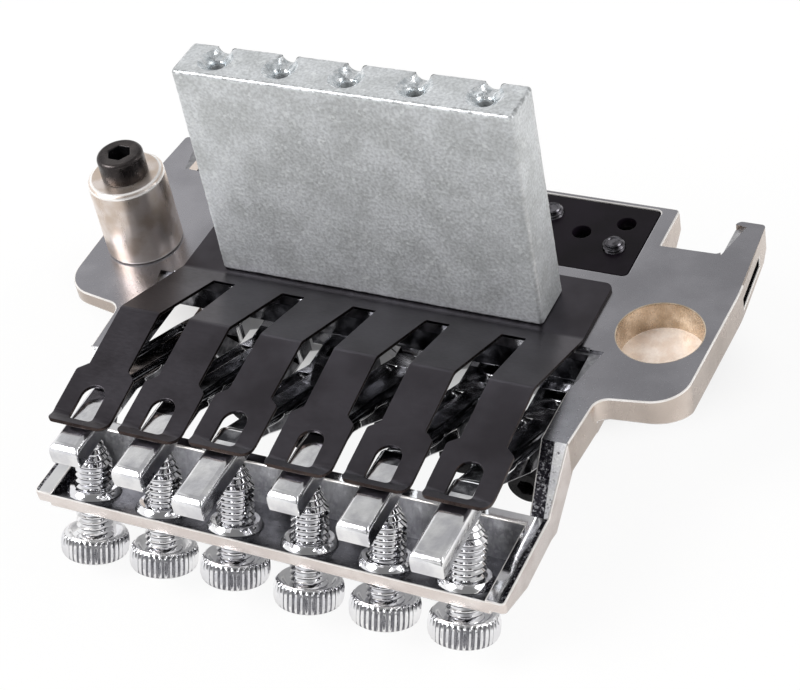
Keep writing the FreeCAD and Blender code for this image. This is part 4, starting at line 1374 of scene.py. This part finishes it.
@dataclass
class Studio:
    """The camera, the pale floor and the soft light."""

    azimuth: float = 34.4  # the camera's turn from looking along Y, in degrees
    elevation: float = 40.53  # its height above the horizon, in degrees
    roll: float = -13.08  # its tilt, in degrees
    distance: float = 287.82  # its distance from the target, in millimetres
    target: tuple[float, float, float] = (-3.37, -23.49, -1.94)  # the point that its axis meets
    focal_px: float = 2121.68  # its focal length in pixels of the picture
    principal: tuple[float, float] = (352.59, 336.28)  # the pixel that lies on its axis
    picture: tuple[int, int] = (800, 690)  # width and height of the picture in pixels
    sensor: float = 36.0  # width of the sensor in millimetres
    nearest: float = 0.01  # the nearest that the camera sees, in metres
    floor_half: float = 1.5  # half width of the floor in metres
    floor_drop: float = 0.0001  # how far the floor lies below the lowest point, in metres
    paper: str = "#f2f1ef"  # colour of the floor
    painted_shadow: str = "#a09e9d"  # its colour under the plate, a painted shadow
    painted_shadow_spot: tuple[float, float] = (-0.01, -0.003)  # middle of the painted shadow's oval, in metres
    painted_shadow_half: tuple[float, float] = (0.046, 0.017)  # half length and half width of the oval
    painted_shadow_span: tuple[float, float] = (0.55, 1.35)  # where the painted shadow fades, in shares of the oval
    painted_shadow_least: float = 0.4  # share of its own light that the floor keeps in the painted shadow
    eye_share: float = 0.92  # how far the floor is plain white to the camera
    metal_share: float = 0.25  # how far it is plain white in the metal
    air: str = "#f4f4f6"  # colour of the light that comes from all round
    air_light: float = 0.6  # strength of that light
    ceiling: DarkSide = DarkSide((0.5, 0.0, 1.0), begin=0.12, full=0.6, light=0.5)
    dark_end: DarkSide = DarkSide((0.43, -0.63, 0.65), begin=0.66, full=0.9, light=0.45)
    lamps: tuple[SoftBox, ...] = (
        SoftBox("key_soft_box", (-0.42, -0.38, 0.55), 4.8),
        SoftBox("fill_soft_box", (0.6, 0.12, 0.35), 1.6),
    )

    def camera(self) -> None:
        """Stands the camera where the photograph was taken from."""
        az, el, roll = (math.radians(v) for v in (self.azimuth, self.elevation, self.roll))
        back = Vector((math.sin(az) * math.cos(el), -math.cos(az) * math.cos(el), math.sin(el)))
        level = Vector((math.cos(az), math.sin(az), 0.0))
        upright = back.cross(level)
        right = level * math.cos(roll) + upright * math.sin(roll)
        up = upright * math.cos(roll) - level * math.sin(roll)
        lens = bpy.data.cameras.new("photo_camera")
        lens.sensor_fit = "HORIZONTAL"
        lens.sensor_width = self.sensor
        width, height = self.picture
        lens.lens = self.focal_px * self.sensor / width
        lens.shift_x = (width / 2 - self.principal[0]) / width
        lens.shift_y = (self.principal[1] - height / 2) / width
        lens.clip_start = self.nearest
        eye = bpy.data.objects.new("photo_camera", lens)
        turn = Matrix((right, up, back)).transposed().to_4x4()
        spot = Vector(self.target) * MM + back * self.distance * MM
        eye.matrix_world = Matrix.Translation(spot) @ turn
        bpy.context.scene.collection.objects.link(eye)
        bpy.context.scene.camera = eye

    def floor(self) -> None:
        """Lays the pale floor under the lowest point."""
        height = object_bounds()[0][2] - self.floor_drop
        shape = bmesh.new()
        bmesh.ops.create_grid(shape, x_segments=1, y_segments=1, size=self.floor_half)
        bmesh.ops.translate(shape, vec=(0.0, 0.0, height), verts=shape.verts)
        mesh = bpy.data.meshes.new("floor")
        shape.to_mesh(mesh)
        shape.free()
        mesh.materials.append(self.floor_material())
        floor = bpy.data.objects.new("floor", mesh)
        bpy.context.scene.collection.objects.link(floor)
        floor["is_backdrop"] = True

    def floor_material(self) -> Material:
        """Makes white paper: bright to the eye and in the metal, with its real soft shadow and a painted
        shadow in an oval under the plate.

        Returns:
            The material.
        """
        paper = bpy.data.materials.new("white_paper_floor")
        tree = empty_tree(paper)
        path = add_node(tree, "LightPath")
        eye = add_node(tree, "Math", {0: path["Is Camera Ray"], 1: self.eye_share}, TIMES)["Value"]
        metal = add_node(tree, "Math", {0: path["Is Glossy Ray"], 1: self.metal_share}, TIMES)["Value"]
        both = add_node(tree, "Math", {0: eye, 1: metal}, {"operation": "ADD"})["Value"]
        # Inside an oval under the plate the paper is painted darker and keeps less of its own light: a
        # painted shadow.
        place = add_node(tree, "TexCoord")["Object"]
        oval = {"Vector": place, "Location": (*self.painted_shadow_spot, 0.0), "Scale": (*self.painted_shadow_half, 1.0)}
        under = add_node(tree, "Mapping", oval, {"vector_type": "TEXTURE"})["Vector"]
        flat = add_node(tree, "VectorMath", {0: under, 1: (1.0, 1.0, 0.0)}, TIMES)["Vector"]
        away = add_node(tree, "VectorMath", {0: flat}, {"operation": "LENGTH"})["Value"]
        near, far = self.painted_shadow_span
        fade = {"Value": away, "From Min": near, "From Max": far, "To Min": self.painted_shadow_least}
        clear = add_node(tree, "MapRange", fade, SOFT_STEP)["Result"]
        share = add_node(tree, "Math", {0: both, 1: clear}, TIMES)["Value"]
        shade = add_node(tree, "Mix", {0: clear, 6: linear(self.painted_shadow), 7: linear(self.paper)}, COLOURS)
        matt = add_node(tree, "BsdfDiffuse", {"Color": shade[2], "Roughness": 1.0})["BSDF"]
        white = add_node(tree, "Emission", {"Color": WHITE, "Strength": 1.0})["Emission"]
        mix = add_node(tree, "MixShader", {0: share, 1: matt, 2: white})
        add_node(tree, "OutputMaterial", {"Surface": mix["Shader"]})
        return paper

    def room_light(self, tree: NodeTree) -> NodeSocket:
        """Grades the room that the metal mirrors: a grey ceiling and a dark end behind the camera.

        Args:
            tree: The world's nodes.

        Returns:
            The room's brightness by direction.
        """
        way = add_node(tree, "TexCoord")["Generated"]
        lights = []
        for side in (self.ceiling, self.dark_end):
            lean = add_node(tree, "VectorMath", {0: way, 1: side.way}, {"operation": "DOT_PRODUCT"})
            fade = {"From Min": side.begin, "From Max": side.full, "To Min": 1.0, "To Max": side.light}
            lights.append(add_node(tree, "MapRange", {"Value": lean["Value"], **fade}, SOFT_STEP)["Result"])
        return add_node(tree, "Math", dict(enumerate(lights)), TIMES)["Value"]

    def world(self) -> None:
        """Surrounds the object with a white background, in whose place metal sees the graded room."""
        world = bpy.data.worlds.new("studio")
        bpy.context.scene.world = world
        tree = empty_tree(world)
        path = add_node(tree, "LightPath")
        rays = {0: path["Is Camera Ray"], 1: path["Is Transmission Ray"]}
        seen = add_node(tree, "Math", rays, {"operation": "MAXIMUM"})["Value"]
        room_light = self.room_light(tree)
        air, room, white = (
            add_node(tree, "Background", {"Color": colour, "Strength": strength})["Background"]
            for colour, strength in ((linear(self.air), self.air_light), (WHITE, room_light), (WHITE, 1.0))
        )
        metal = add_node(tree, "MixShader", {0: path["Is Glossy Ray"], 1: air, 2: room})["Shader"]
        mix = add_node(tree, "MixShader", {0: seen, 1: metal, 2: white})
        add_node(tree, "OutputWorld", {"Surface": mix["Shader"]})

    def build(self) -> None:
        """Sets up the whole studio."""
        bpy.context.scene.view_settings.view_transform = "Standard"
        self.camera()
        self.floor()
        self.world()
        for lamp in self.lamps:
            lamp.build()


def main() -> None:
    """Builds every sub-assembly."""
    logging.basicConfig(level=logging.INFO, format="%(message)s")
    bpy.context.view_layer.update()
    BasePlate().build()
    SaddlePlate().build()
    SustainBlock().build()
    LeafSpring().build()
    ArmSocket().build()
    for number in range(1, STRINGS + 1):
        FineTuner(number).build()
        StringSaddle(number).build()
    Studio().build()


if __name__ == "__main__":
    main()
